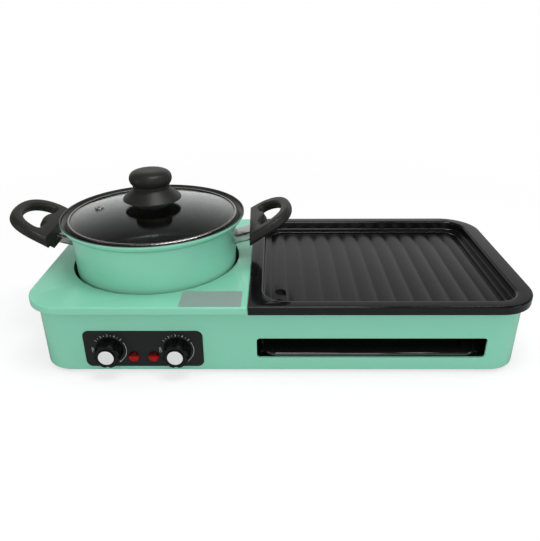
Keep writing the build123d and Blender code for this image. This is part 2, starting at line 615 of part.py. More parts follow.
with BuildPart() as rib_field:
    with BuildSketch(front_plane(HOUSE_Y, well_mid, plate_z)):
        for left, right in zip(ridge_edges, ridge_edges[1:]):
            foot_left, foot_right = left + GROOVE_WIDTH / 2, right - GROOVE_WIDTH / 2
            with BuildLine():
                ThreePointArc((foot_left, -GROOVE_DEPTH),
                              ((foot_left + foot_right) / 2, -CROWN_DEPTH),
                              (foot_right, -GROOVE_DEPTH))
                Polyline((foot_right, -GROOVE_DEPTH), (foot_right, -CHANNEL_DEPTH - 1),
                         (foot_left, -CHANNEL_DEPTH - 1), (foot_left, -GROOVE_DEPTH))
            make_face()
        with Locations((0, -GROOVE_DEPTH)):
            Rectangle(field_length - GROOVE_WIDTH, CHANNEL_DEPTH - GROOVE_DEPTH + 1,
                      align=(Align.CENTER, Align.MAX))
    extrude(amount=field_width / 2, both=True)
    with BuildSketch(Plane.YZ.offset(well_mid - field_length)):
        with Locations((HOUSE_Y, plate_z - CHANNEL_DEPTH - 1)):
            Trapezoid(field_width, CHANNEL_DEPTH - CROWN_DEPTH + 1.5, 50,
                      align=(Align.CENTER, Align.MIN))
    extrude(amount=2 * field_length, mode=Mode.INTERSECT)

with BuildPart() as grill_plate:
    with BuildSketch(level(plate_z, x=plate_mid)) as plate_outline:
        Rectangle(plate_right + PLATE_LEFT, HOUSING_WIDTH)
        fillet(plate_outline.vertices().group_by(Axis.X)[-1], SKIRT_CORNER)
    extrude(amount=-PLATE_SKIRT)
    rim = grill_plate.faces().sort_by(Axis.Z)[-1].edges()
    fillet(rim.filter_by(lambda edge: edge != rim.sort_by(Axis.X)[0]), DECK_ROUNDING)
    with BuildSketch(level(plate_z - PLATE_SKIRT, x=plate_mid)) as under_rim:
        with Locations((-MOULDED_WALL / 2, 0)):
            Rectangle(plate_right + PLATE_LEFT - MOULDED_WALL, HOUSING_WIDTH - 2 * MOULDED_WALL)
        fillet(under_rim.vertices().group_by(Axis.X)[-1], SKIRT_CORNER - MOULDED_WALL)
    extrude(amount=PLATE_SKIRT - plate_rim, mode=Mode.SUBTRACT)
    # the well, outside then inside
    with BuildSketch(level(plate_z - 1, x=well_mid)):
        RectangleRounded(well_length + 2 * CAST_WALL, well_width + 2 * CAST_WALL,
                         WELL_CORNER + CAST_WALL)
    extrude(amount=-WELL_DEPTH + 1)
    with BuildSketch(level(plate_z, x=well_mid)):
        RectangleRounded(well_length, well_width, WELL_CORNER)
    extrude(amount=-LEDGE_DEPTH, mode=Mode.SUBTRACT)
    rim_inner = grill_plate.faces().filter_by(Axis.Z).sort_by(Axis.Z)[-1].inner_wires()[0].edges()
    fillet(rim_inner, ROLL_R)
    with BuildSketch(level(plate_z - LEDGE_DEPTH, x=well_mid)):
        RectangleRounded(well_length, well_width, WELL_CORNER)
    with BuildSketch(level(plate_z - LEDGE_DEPTH - LEDGE_SLOPE, x=well_mid)):
        RectangleRounded(floor_length, floor_width, floor_corner)
    loft(mode=Mode.SUBTRACT)
    with BuildSketch(level(plate_z - LEDGE_DEPTH - LEDGE_SLOPE, x=well_mid)):
        RectangleRounded(floor_length, floor_width, floor_corner)
    extrude(amount=-(CHANNEL_DEPTH - LEDGE_DEPTH - LEDGE_SLOPE), mode=Mode.SUBTRACT)
    # the casting is rounded where the wall meets the ledge and where the ledge drops away
    for depth, rounding in ((LEDGE_DEPTH, WALL_ROUNDING),
                            (LEDGE_DEPTH + LEDGE_SLOPE, LEDGE_ROUNDING)):
        fillet(grill_plate.edges().filter_by(
            lambda edge: abs(edge.center().Z - plate_z + depth) < 0.01
            and abs(edge.bounding_box().size.Z) < 0.01), rounding)
    add(rib_field.part)
    # the first rib stops short of the sump, which drains into the tray
    sump_x = well_mid - floor_length / 2 + SUMP_WIDTH / 2 + 1.5
    with BuildSketch(level(plate_z - CHANNEL_DEPTH, sump_x, drain_y)):
        RectangleRounded(SUMP_WIDTH, SUMP_LENGTH, 6)
    extrude(amount=CHANNEL_DEPTH - LEDGE_DEPTH, mode=Mode.SUBTRACT)
    with BuildSketch(level(plate_z - CHANNEL_DEPTH, drain_x, drain_y)):
        Circle(DRAIN_R)
    extrude(amount=-WELL_DEPTH, mode=Mode.SUBTRACT)
write(grill_plate, "grill_plate")

# ================================================================ pot
# ---- pot: drawn aluminium, with a step inside the flared rim where the lid sits
POT_SHEET = 2.2
POT_FOOT_R = 8.0
neck_z = POT_TOP - 12.5
FLARE_R = 117.5
RIM_LIP = 1.6
seat_outer = LID_R + 1.2

with BuildPart() as pot_blank:
    with BuildSketch(spindle(POT_X)) as pot_outline:
        with BuildLine():
            Polyline((0, pot_base_z), (POT_BASE_R, pot_base_z), (POT_WALL_R, neck_z),
                     (FLARE_R, neck_z + 5.5), (POT_RIM_R, neck_z + 9.5), (POT_RIM_R, POT_TOP),
                     (0, POT_TOP), close=True)
        make_face()
        fillet(near(pot_outline, POT_BASE_R, pot_base_z), POT_FOOT_R)
        fillet(near(pot_outline, POT_WALL_R, neck_z), 5.0)
        fillet(near(pot_outline, FLARE_R, neck_z + 5.5), 2.5)
    turn(POT_X)

with BuildPart() as pot_shell:
    add(pot_blank.part)
    with BuildSketch(spindle(POT_X)) as pot_inside:
        with BuildLine():
            Polyline((0, pot_base_z + POT_SHEET), (POT_BASE_R - POT_SHEET, pot_base_z + POT_SHEET),
                     (POT_WALL_R - POT_SHEET, LID_SEAT_Z - 1.5),
                     (POT_WALL_R - POT_SHEET + 1.5, LID_SEAT_Z), (seat_outer, LID_SEAT_Z),
                     (POT_RIM_R - RIM_LIP - 1, LID_SEAT_Z + 4.5), (POT_RIM_R - RIM_LIP, POT_TOP),
                     (0, POT_TOP), close=True)
        make_face()
        fillet(near(pot_inside, POT_BASE_R - POT_SHEET, pot_base_z + POT_SHEET),
               POT_FOOT_R - POT_SHEET + 1)
        fillet(near(pot_inside, seat_outer, LID_SEAT_Z), 1.5)
    revolve(axis=Axis((POT_X, HOUSE_Y, 0), (0, 0, 1)), mode=Mode.SUBTRACT)
    fillet(pot_shell.edges().filter_by(GeomType.CIRCLE).group_by(Axis.Z)[-1], 0.6)
write(pot_shell, "pot_shell")

# ---- two handles: a moulded loop that rises outwards, on a plated bracket welded to the wall
BRACKET_WIDTH, BRACKET_HEIGHT, BRACKET_RISE = 30.0, 12.0, 15.0
BRACKET_ROUNDING, BRACKET_IN_HANDLE = 3.0, 9.0
BRACKET_Z = 131.1
LOOP_HALF, LOOP_WIDEST, LOOP_FULLNESS = 54.0, 9.7, (0.73, 0.77)
HOLE_HALF, HOLE_END = 36.4, 47.5
ROOT_BAR, ROOT_BLOCK, ROOT_HALF, ROOT_DROP, ROOT_INWARD = 18.5, 10.0, 32.0, 7.0, 10.0
LUG_HALF, LUG_REACH = 18.0, 24.0
half = HANDLE_THICKNESS / 2


def loop_edge(width, end):
    """Half of an outline in the handle's plane: straight from the root, then round to its end."""
    reach = end - LOOP_WIDEST
    Polyline((-ROOT_INWARD, 0), (-ROOT_INWARD, width), (LOOP_WIDEST, width))
    along, across = LOOP_FULLNESS
    Spline((LOOP_WIDEST, width), (LOOP_WIDEST + along * reach, across * width), (end, 0),
           tangents=((1, 0), (0, -1)))


for name, side in (("left", -1), ("right", 1)):
    outwards = side * Vector(cos(radians(POT_TURN)), sin(radians(POT_TURN)), 0)
    up = Vector(0, 0, 1)
    pot_axis = Vector(POT_X, HOUSE_Y, 0)

    rise = radians(BRACKET_RISE)
    bracket_start = POT_WALL_R - 4
    bracket_foot = BRACKET_Z - (HANDLE_ROOT - bracket_start) * sin(rise)
    with BuildPart() as bracket:
        with BuildSketch(Plane(origin=pot_axis + outwards * bracket_start + up * bracket_foot,
                               x_dir=up.cross(outwards),
                               z_dir=outwards * cos(rise) + up * sin(rise))):
            RectangleRounded(BRACKET_WIDTH, BRACKET_HEIGHT, BRACKET_ROUNDING)
        extrude(amount=(HANDLE_ROOT - bracket_start) / cos(rise) + BRACKET_IN_HANDLE)
        add(pot_blank.part, mode=Mode.SUBTRACT)
    write(bracket, f"handle_bracket_{name}")

    # the loop is drawn on the plane that rises from its root, then arched
    loop = Plane(origin=pot_axis + outwards * HANDLE_ROOT + up * HANDLE_ROOT_Z,
                 x_dir=outwards * cos(handle_rise) + up * sin(handle_rise),
                 z_dir=outwards * -sin(handle_rise) + up * cos(handle_rise))
    with BuildPart() as handle:
        with BuildSketch(loop.offset(-half - 2 * handle_dip)):
            with BuildLine():
                loop_edge(LOOP_HALF, HANDLE_LENGTH)
                mirror(about=Plane.XZ)
            make_face()
        extrude(amount=HANDLE_THICKNESS + 2 * handle_dip)
        with BuildSketch(loop.offset(-half - 2 * handle_dip)) as finger_hole:
            with BuildLine():
                loop_edge(HOLE_HALF, HOLE_END)
                mirror(about=Plane.XZ)
            make_face()
            with Locations((ROOT_BAR, 0)):
                Rectangle(2 * HANDLE_LENGTH, 3 * LOOP_HALF, align=(Align.MAX, Align.CENTER),
                          mode=Mode.SUBTRACT)
                Ellipse(LUG_REACH - ROOT_BAR, LUG_HALF, mode=Mode.SUBTRACT)
            fillet(finger_hole.vertices().group_by(Axis.X)[0], 5)
        extrude(amount=HANDLE_THICKNESS + 2 * handle_dip, mode=Mode.SUBTRACT)
        with BuildSketch(Plane(origin=pot_axis, x_dir=outwards, z_dir=outwards.cross(up))):
            with Locations((HANDLE_ROOT + HANDLE_BEND * sin(handle_rise),
                            HANDLE_ROOT_Z - HANDLE_BEND * cos(handle_rise))):
                Circle(HANDLE_BEND + half)
                Circle(HANDLE_BEND - half, mode=Mode.SUBTRACT)
        extrude(amount=2 * LOOP_HALF, both=True, mode=Mode.INTERSECT)
        fillet(handle.faces().sort_by(SortBy.AREA)[-2:].edges(), HANDLE_ROUNDING)
        # the root block hangs below the loop and takes the bracket
        with BuildSketch(loop.offset(-half - ROOT_DROP)):
            with Locations((-ROOT_INWARD, 0)):
                RectangleRounded(2 * (ROOT_INWARD + ROOT_BLOCK), 2 * ROOT_HALF, 3)
        extrude(amount=ROOT_DROP + half)
        # the flat face at the root, just clear of the pot's rim
        with BuildSketch(Plane(origin=pot_axis + outwards * HANDLE_ROOT, x_dir=outwards, z_dir=up)):
            Rectangle(HANDLE_ROOT, 3 * LOOP_HALF, align=(Align.MAX, Align.CENTER))
        extrude(amount=2 * POT_TOP, mode=Mode.SUBTRACT)
        add(bracket.part, mode=Mode.SUBTRACT)
    write(handle, f"handle_{name}")

# ================================================================ lid
# ---- tempered glass dome with a hole for the knob's screw and one for the steam vent
DOME_RISE = 14.3            # edge of the glass to its crown
dome_r = ((LID_R - 1) ** 2 + DOME_RISE ** 2) / (2 * DOME_RISE)
dome_z = LID_CROWN - dome_r
GLASS_R = LID_R - 0.9
STUD_HOLE_R, VENT_R = 3.5, 4.0
vent_x, vent_y = POT_X - 71.0, HOUSE_Y - 4.4


def dome_height(radius, drop=0.0):
    """Height of the glass at this radius: its top face, or a face this far below it."""
    return dome_z + sqrt((dome_r - drop) ** 2 - radius ** 2)


with BuildPart() as lid_glass:
    with BuildSketch(spindle(POT_X)):
        with BuildLine():
            inner = GLASS_R / 2
            ThreePointArc((STUD_HOLE_R, dome_height(STUD_HOLE_R)), (inner, dome_height(inner)),
                          (GLASS_R, dome_height(GLASS_R)))
            Line((GLASS_R, dome_height(GLASS_R)), (GLASS_R, dome_height(GLASS_R, GLASS)))
            ThreePointArc((GLASS_R, dome_height(GLASS_R, GLASS)),
                          (inner, dome_height(inner, GLASS)),
                          (STUD_HOLE_R, dome_height(STUD_HOLE_R, GLASS)))
            Line((STUD_HOLE_R, dome_height(STUD_HOLE_R, GLASS)),
                 (STUD_HOLE_R, dome_height(STUD_HOLE_R)))
        make_face()
    turn(POT_X)
    with BuildSketch(level(LID_SEAT_Z, vent_x, vent_y)):
        Circle(VENT_R + SCREW_FIT)
    extrude(amount=LID_CROWN - LID_SEAT_Z, mode=Mode.SUBTRACT)
write(lid_glass, "lid_glass")

# ---- stainless band rolled round the edge of the glass
BAND_SHEET, BAND_LIP = 0.7, 2.6
band_top = dome_height(GLASS_R - BAND_LIP) + BAND_SHEET

with BuildPart() as lid_band:
    with BuildSketch(spindle(POT_X)) as band_section:
        with BuildLine():
            Polyline((LID_R - BAND_LIP, LID_SEAT_Z), (LID_R, LID_SEAT_Z), (LID_R, band_top),
                     (LID_R - BAND_LIP, band_top), close=True)
        make_face()
        fillet(near(band_section, LID_R, band_top), 1.2)
        fillet(near(band_section, LID_R, LID_SEAT_Z), 0.8)
    turn(POT_X)
    add(lid_glass.part, mode=Mode.SUBTRACT)
write(lid_band, "lid_band")

# ---- steam vent: a steel eyelet through the glass
vent_top = dome_height(sqrt((vent_x - POT_X) ** 2 + (vent_y - HOUSE_Y) ** 2)) + 0.3
with BuildPart() as steam_vent:
    with BuildSketch(level(vent_top, vent_x, vent_y)):
        Circle(VENT_R + 2.2)
    extrude(amount=1.2)
    fillet(steam_vent.faces().sort_by(Axis.Z)[-1].edges(), 0.8)
    with BuildSketch(level(vent_top, vent_x, vent_y)):
        Circle(VENT_R)
    extrude(amount=-GLASS - 1.5)
    with BuildSketch(level(vent_top, vent_x, vent_y)):
        Circle(VENT_R - 2)
    extrude(amount=3 * GLASS, both=True, mode=Mode.SUBTRACT)
    add(lid_glass.part, mode=Mode.SUBTRACT)
write(steam_vent, "steam_vent")

# ---- lid knob base: a short seat on the glass under a wide cone that shields the fingers
SEAT_R, SHIELD_R, COLLAR_R, CAP_R = 24.0, 37.8, 23.6, 27.5
shield_z, collar_z, collar_top, cap_wide_z, cap_top = LID_CROWN + 6.8, 196.2, 200.6, 208.4, 219.8
KNOB_STUD_R = 2.5
SCREW_BITE = 12.0           # how far the screw reaches into the knob

with BuildPart() as lid_knob_base:
    with BuildSketch(spindle(POT_X)) as base_section:
        with BuildLine():
            Polyline((KNOB_STUD_R + SCREW_FIT, dome_height(0) - 1), (SEAT_R, dome_height(0) - 1),
                     (SEAT_R, shield_z + 2), (SHIELD_R - 1.5, shield_z), (SHIELD_R, shield_z + 0.5),
                     (SHIELD_R - 0.5, shield_z + 2.2), (COLLAR_R, collar_z),
                     (KNOB_STUD_R + SCREW_FIT, collar_z), close=True)
        make_face()
        fillet(near(base_section, SHIELD_R, shield_z + 0.5), 0.4)
    turn(POT_X)
    with BuildSketch(spindle(POT_X)):
        with BuildLine():
            Line((0, dome_z), (0, dome_height(0)))
            ThreePointArc((0, dome_height(0)), (SEAT_R, dome_height(SEAT_R)),
                          (2 * SEAT_R, dome_height(2 * SEAT_R)))
            Line((2 * SEAT_R, dome_height(2 * SEAT_R)), (0, dome_z))
        make_face()
    revolve(axis=Axis((POT_X, HOUSE_Y, 0), (0, 0, 1)), mode=Mode.SUBTRACT)
write(lid_knob_base, "lid_knob_base")

# ---- lid knob: a collar under a domed cap
with BuildPart() as lid_knob:
    with BuildSketch(spindle(POT_X)):
        with BuildLine():
            Polyline((0, cap_top), (0, collar_z), (COLLAR_R, collar_z), (COLLAR_R, collar_top))
            ThreePointArc((COLLAR_R, collar_top), (CAP_R - 1.1, (collar_top + cap_wide_z) / 2),
                          (CAP_R, cap_wide_z))
            Spline((CAP_R, cap_wide_z), (0, cap_top), tangents=((0, 1), (-1, 0)))
        make_face()
    turn(POT_X)
    with BuildSketch(level(collar_z, x=POT_X)):
        Circle(KNOB_STUD_R)
    extrude(amount=SCREW_BITE, mode=Mode.SUBTRACT)
write(lid_knob, "lid_knob")

# ---- the screw that clamps the knob, and the washer under the glass
WASHER_R, WASHER, WASHER_GAP = 11.0, 1.6, 0.15
SCREW_HEAD_R, SCREW_HEAD = 5.0, 3.0
washer_z = dome_height(0, GLASS) - WASHER
with BuildPart() as lid_washer:
    with BuildSketch(level(washer_z, x=POT_X)):
        Circle(WASHER_R)
        Circle(KNOB_STUD_R + SCREW_FIT, mode=Mode.SUBTRACT)
    extrude(amount=WASHER - WASHER_GAP)
write(lid_washer, "lid_washer")

with BuildPart() as lid_screw:
    with BuildSketch(level(washer_z, x=POT_X)):
        Circle(SCREW_HEAD_R)
    extrude(amount=-SCREW_HEAD)
    fillet(lid_screw.faces().sort_by(Axis.Z)[0].edges(), SCREW_HEAD / 2)
    with BuildSketch(level(washer_z, x=POT_X)):
        Circle(KNOB_STUD_R)
    extrude(amount=collar_z + SCREW_BITE - washer_z)
write(lid_screw, "lid_screw")

# ================================================================ knobs
# ---- each knob: a skirt disc, a tapered grip with eight lobes, and a collar round its white cap
KNOB_R, KNOB_TIP_R, KNOB_COLLAR_R, KNOB_CAP_R = 16.6, 16.0, 10.4, 9.3
KNOB_SKIRT_R, KNOB_SKIRT, KNOB_GRIP = 17.0, 2.4, 13.2
LOBES, FLUTE_R, FLUTE_CIRCLE = 8, 3.8, 17.6
KNOB_GAP = 0.6
CAP_DEPTH = 2.0
knob_back = panel_front - KNOB_GAP
knob_end = panel_front - KNOB_DEPTH
collar_depth = KNOB_DEPTH - KNOB_GAP - KNOB_SKIRT - KNOB_GRIP - 0.8

for name, x in zip(("left", "right"), KNOB_X):
    axle = Axis((x, 0, knob_z), (0, -1, 0))
    with BuildPart() as shaft:
        with BuildSketch(front_plane(shaft_rear, x, knob_z)):
            Circle(SHAFT_R)
        extrude(amount=shaft_rear - knob_back)
        with BuildSketch(front_plane(knob_back, x, knob_z)):
            Circle(SHAFT_R)
            with Locations((0, SHAFT_R - 1)):
                Rectangle(4 * SHAFT_R, 4 * SHAFT_R, align=(Align.CENTER, Align.MIN),
                          mode=Mode.SUBTRACT)
        extrude(amount=12)
    write(shaft, f"knob_shaft_{name}")

    with BuildPart() as knob:
        with BuildSketch(front_plane(knob_back, x, knob_z)):
            Circle(KNOB_SKIRT_R)
        extrude(amount=KNOB_SKIRT)
        with BuildSketch(front_plane(knob_back - KNOB_SKIRT, x, knob_z)):
            Circle(KNOB_R)
        with BuildSketch(front_plane(knob_back - KNOB_SKIRT - KNOB_GRIP, x, knob_z)):
            Circle(KNOB_TIP_R)
        loft()
        fillet(knob.faces().sort_by(Axis.Y)[0].edges(), 1.2)
        with BuildSketch(front_plane(knob_back - KNOB_SKIRT, x, knob_z)):
            with PolarLocations(FLUTE_CIRCLE, LOBES, start_angle=90):
                Circle(FLUTE_R)
        extrude(amount=KNOB_GRIP, mode=Mode.SUBTRACT)
        with BuildSketch(front_plane(knob_back - KNOB_SKIRT - KNOB_GRIP, x, knob_z)):
            Circle(KNOB_COLLAR_R)
        extrude(amount=collar_depth)
        with BuildSketch(front_plane(knob_back - KNOB_SKIRT - KNOB_GRIP - collar_depth, x, knob_z)):
            Circle(KNOB_CAP_R)
        extrude(amount=-CAP_DEPTH, mode=Mode.SUBTRACT)
        add(shaft.part, mode=Mode.SUBTRACT)
    write(knob, f"knob_{name}")

    with BuildPart() as cap:
        with BuildSketch(front_plane(knob_end + 0.8 + CAP_DEPTH, x, knob_z)):
            Circle(KNOB_CAP_R)
        extrude(amount=CAP_DEPTH + 0.8)
        fillet(cap.faces().sort_by(Axis.Y)[0].edges(), 0.6)
    write(cap, f"knob_cap_{name}")
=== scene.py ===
"""The looks of a two-in-one table cooker: a hot pot under a glass lid beside a ribbed grill plate.

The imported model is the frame. Its pieces keep their shapes and get their finishes here, and the
small things that go on them are modelled. Metres, +X to the right, -Y the front with the dials.
"""

from math import pi, radians, tau

import bmesh
import bpy
from mathutils import Matrix, Vector


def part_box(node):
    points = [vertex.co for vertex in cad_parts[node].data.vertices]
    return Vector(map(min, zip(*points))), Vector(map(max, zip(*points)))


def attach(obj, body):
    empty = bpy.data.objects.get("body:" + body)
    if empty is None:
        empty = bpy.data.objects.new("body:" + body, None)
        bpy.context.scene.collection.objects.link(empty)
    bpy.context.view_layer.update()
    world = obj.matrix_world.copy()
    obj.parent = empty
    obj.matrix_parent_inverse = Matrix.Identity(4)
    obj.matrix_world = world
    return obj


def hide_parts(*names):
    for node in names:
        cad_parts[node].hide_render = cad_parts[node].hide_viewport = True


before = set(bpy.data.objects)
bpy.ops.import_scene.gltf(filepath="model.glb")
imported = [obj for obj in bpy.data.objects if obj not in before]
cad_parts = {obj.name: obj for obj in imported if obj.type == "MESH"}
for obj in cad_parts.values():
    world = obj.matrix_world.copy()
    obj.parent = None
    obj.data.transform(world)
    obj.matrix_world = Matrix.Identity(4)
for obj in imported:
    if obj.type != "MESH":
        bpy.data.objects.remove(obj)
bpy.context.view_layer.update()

# ================================================================ the table and the light
# A white table in a small studio: soft boxes overhead, in front and at both sides, a narrow strip
# for a fine line of light on the front edges, and a white sweep behind. The camera stands where
# somebody about to use the cooker would stand.
MM = 0.001
house_low, house_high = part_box("lower_housing")
house = (house_low + house_high) / 2

EYE_ASIDE, EYE_BACK, EYE_HEIGHT = -6.7 * MM, -693.7 * MM, 413.7 * MM
EYE_PITCH, EYE_YAW, EYE_ROLL = 26.03, 0.50, -0.28
LENS = 36.73

camera = bpy.data.objects.new("camera", bpy.data.cameras.new("camera"))
bpy.context.scene.collection.objects.link(camera)
bpy.context.scene.camera = camera
bpy.context.scene.view_settings.view_transform = "Standard"
camera.data.sensor_fit = "HORIZONTAL"
camera.data.lens = LENS
camera.matrix_world = (Matrix.Translation((house.x + EYE_ASIDE, house.y + EYE_BACK, EYE_HEIGHT))
                       @ Matrix.Rotation(radians(EYE_YAW), 4, "Z")
                       @ Matrix.Rotation(radians(90 - EYE_PITCH), 4, "X")
                       @ Matrix.Rotation(radians(EYE_ROLL), 4, "Z"))


def linear(colour):
    """An sRGB hex colour as the linear RGBA that a shader works in."""
    channels = [int(colour[i:i + 2], 16) / 255 for i in (1, 3, 5)]
    return (*(c / 12.92 if c <= 0.04045 else ((c + 0.055) / 1.055) ** 2.4 for c in channels), 1.0)


def add(tree, kind, inputs=None, **settings):
    """Adds a shader node with its settings, and fills or links its inputs."""
    made = tree.nodes.new("ShaderNode" + kind)
    for name, value in settings.items():
        setattr(made, name, value)
    for socket, value in (inputs or {}).items():
        if isinstance(value, bpy.types.NodeSocket):
            tree.links.new(value, made.inputs[socket])
        else:
            made.inputs[socket].default_value = value
    return made


def blank(name):
    """A new material with an empty tree."""
    material = bpy.data.materials.new(name)
    material.use_nodes = True
    material.node_tree.nodes.clear()
    return material, material.node_tree


# the surround is white to the eye; in gloss it is a white sweep low down behind the table, and a
# dim room higher up, at the sides and on the near side
SURROUND_LEVEL, SWEEP_LEVEL, ROOM_LEVEL, SIDE_LEVEL = 0.72, 0.86, 0.10, 0.20
SWEEP_FADES, ROOM_STARTS = 0.12, 0.90           # how steeply up a reflection looks
SIDE_ENDS, BACK_STARTS = 0.50, 0.95             # how far back it looks
studio = bpy.data.worlds.new("white_studio")
bpy.context.scene.world = studio
studio.use_nodes = True
sky = studio.node_tree
sky.nodes.clear()
ray = add(sky, "LightPath").outputs
towards = add(sky, "SeparateXYZ", {0: add(sky, "TexCoord").outputs["Generated"]}).outputs
sweep = add(sky, "MapRange", {0: towards[2], 1: SWEEP_FADES, 2: ROOM_STARTS, 3: SWEEP_LEVEL,
                              4: ROOM_LEVEL}, interpolation_type="SMOOTHSTEP").outputs[0]
share = add(sky, "MapRange", {0: towards[1], 1: SIDE_ENDS, 2: BACK_STARTS, 3: SIDE_LEVEL,
                              4: 1.0}).outputs[0]
gloss = add(sky, "Math", {0: sweep, 1: share}, operation="MULTIPLY").outputs[0]
mirrored = add(sky, "Math", {0: ray["Glossy Depth"], 1: 0.5}, operation="GREATER_THAN").outputs[0]
lighting = add(sky, "Math", {0: ray["Diffuse Depth"], 1: 0.5}, operation="GREATER_THAN").outputs[0]
bounced = add(sky, "Math", {0: mirrored, 1: lighting}, operation="MAXIMUM").outputs[0]
level = add(sky, "Mix", {0: mirrored, 2: SURROUND_LEVEL, 3: gloss}).outputs[0]
level = add(sky, "Mix", {0: bounced, 2: 1.0, 3: level}).outputs[0]
glow = add(sky, "Background", {"Color": (1, 1, 1, 1), "Strength": level})
add(sky, "OutputWorld", {"Surface": glow.outputs[0]})


def soft_box(name, place, aim, width, depth, watts, colour="#FFFFFF"):
    """A rectangular lamp at a place, turned towards a point."""
    lamp = bpy.data.lights.new(name, "AREA")
    lamp.shape = "RECTANGLE"
    lamp.size, lamp.size_y, lamp.energy = width, depth, watts
    lamp.color = linear(colour)[:3]
    holder = bpy.data.objects.new(name, lamp)
    bpy.context.scene.collection.objects.link(holder)
    holder.location = place
    holder.rotation_euler = (Vector(aim) - Vector(place)).to_track_quat("-Z", "Y").to_euler()


soft_box("overhead_box", place=(0.12, -0.25, 1.22), aim=(0, 0, 0.1), width=0.5, depth=0.35,
         watts=5.2)
soft_box("front_box", place=(0.1, -1.9, 1.0), aim=(0, 0, 0.05), width=0.9, depth=0.5, watts=4.6)
soft_box("right_box", place=(1.5, -0.8, 0.4), aim=(0, 0, 0.08), width=0.6, depth=0.5, watts=2.2,
         colour="#CFE4FF")
soft_box("left_box", place=(-1.5, -0.8, 0.35), aim=(-0.1, 0, 0.1), width=0.6, depth=0.5,
         watts=1.2)
soft_box("strip_box", place=(0.62, -0.25, 1.2), aim=(0.2, -0.1, 0.1), width=0.8, depth=0.06,
         watts=1.6)

# the table top: white to the eye, and shaded only close to the cooker
TABLE_SIZE, TABLE_SHADE, SHADE_NEAR, SHADE_FAR = 80.0, 0.32, 0.35, 1.1
TABLE_WHITE, TABLE_IN_GLOSS = "#FCFCFC", "#E6E6E6"
table_top, tree = blank("white_table_laminate")
ray = add(tree, "LightPath").outputs
in_view = add(tree, "Math", {0: ray["Is Camera Ray"], 1: ray["Is Transmission Ray"]},
              operation="MAXIMUM").outputs[0]
matt = add(tree, "BsdfDiffuse", {"Color": linear(TABLE_WHITE)})
dimmer = add(tree, "BsdfDiffuse", {"Color": linear(TABLE_IN_GLOSS)})
bright = add(tree, "Emission", {"Color": (1, 1, 1, 1)})
away = add(tree, "VectorMath", {0: add(tree, "TexCoord").outputs["Object"]},
           operation="LENGTH").outputs["Value"]
shaded = add(tree, "MapRange", {0: away, 1: SHADE_NEAR, 2: SHADE_FAR, 3: TABLE_SHADE, 4: 0.0},
             interpolation_type="SMOOTHSTEP").outputs[0]
seen = add(tree, "MixShader", {0: shaded, 1: bright.outputs[0], 2: matt.outputs[0]})
surface = add(tree, "MixShader", {0: in_view, 1: dimmer.outputs[0], 2: seen.outputs[0]})
add(tree, "OutputMaterial", {"Surface": surface.outputs[0]})


def piece(name, shape, material, body=None):
    """Makes an object of a finished bmesh, with its finish, riding on a body."""
    mesh = bpy.data.meshes.new(name)
    shape.to_mesh(mesh)
    shape.free()
    mesh.materials.append(material)
    made = bpy.data.objects.new(name, mesh)
    bpy.context.scene.collection.objects.link(made)
    if body:
        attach(made, body)
    return made


table = bmesh.new()
bmesh.ops.create_grid(table, x_segments=1, y_segments=1, size=TABLE_SIZE / 2)
piece("table", table, table_top)

# ================================================================ housing and deck
# The lower housing and the deck above it are moulded in mint ABS with a soft gloss. The tool's face
# leaves the colour even, with faint flow marks and a very slight waviness that softens reflections.
FLOW_MARKS = 55.56 * MM
GLOSS_SPREAD = 0.08                         # the share by which the roughness varies
PLASTIC_IOR = 1.5


def moulded(name, colour, roughness, wave_mm, height_mm, flow=0.04, more=None):
    """Moulded plastic: an even colour with faint flow marks, and low waves in its gloss."""
    material, tree = blank(name)
    where = add(tree, "TexCoord").outputs["Object"]
    marks = add(tree, "TexNoise", {"Vector": where, "Scale": 1 / FLOW_MARKS,
                                    "Detail": 3.0}).outputs[0]
    waves = add(tree, "TexNoise", {"Vector": where, "Scale": 1 / (wave_mm * MM), "Detail": 2.0})
    # a noise keeps to about the middle third of its range, so the deeper colour is three times as
    # far away
    deeper = [channel * (1 - 3 * flow) for channel in linear(colour)[:3]] + [1.0]
    tint = add(tree, "Mix", {0: marks, 6: linear(colour), 7: deeper}, data_type="RGBA").outputs[2]
    rough = add(tree, "MapRange", {0: marks, 3: roughness * (1 - GLOSS_SPREAD),
                                   4: roughness * (1 + GLOSS_SPREAD)}).outputs[0]
    relief = add(tree, "Bump", {"Height": waves.outputs[0], "Strength": 0.5,
                                "Distance": height_mm * MM})
    shader = add(tree, "BsdfPrincipled", {"Base Color": tint, "Roughness": rough,
                                          "IOR": PLASTIC_IOR, "Normal": relief.outputs[0],
                                          **(more or {})})
    add(tree, "OutputMaterial", {"Surface": shader.outputs[0]})
    return material


SAME_POINT = 0.01 * MM
CREASE = 30                                 # degrees between two faces


def dress(names, material):
    """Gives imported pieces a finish, and shades them smoothly except over their creases."""
    for name in names:
        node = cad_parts[name]
        node.data.materials.clear()
        node.data.materials.append(material)
        node.data.polygons.foreach_set("use_smooth", [True] * len(node.data.polygons))
        weld = node.modifiers.new("joined", "WELD")
        weld.merge_threshold = SAME_POINT
        split = node.modifiers.new("creases", "EDGE_SPLIT")
        split.split_angle = radians(CREASE)


mint_abs = moulded("mint_moulded_abs", "#82CAAE", 0.24, 40.0, 0.04, flow=0.015,
                   more={"Coat Weight": 0.25, "Coat Roughness": 0.12})
dress(["lower_housing", "top_cover"], mint_abs)

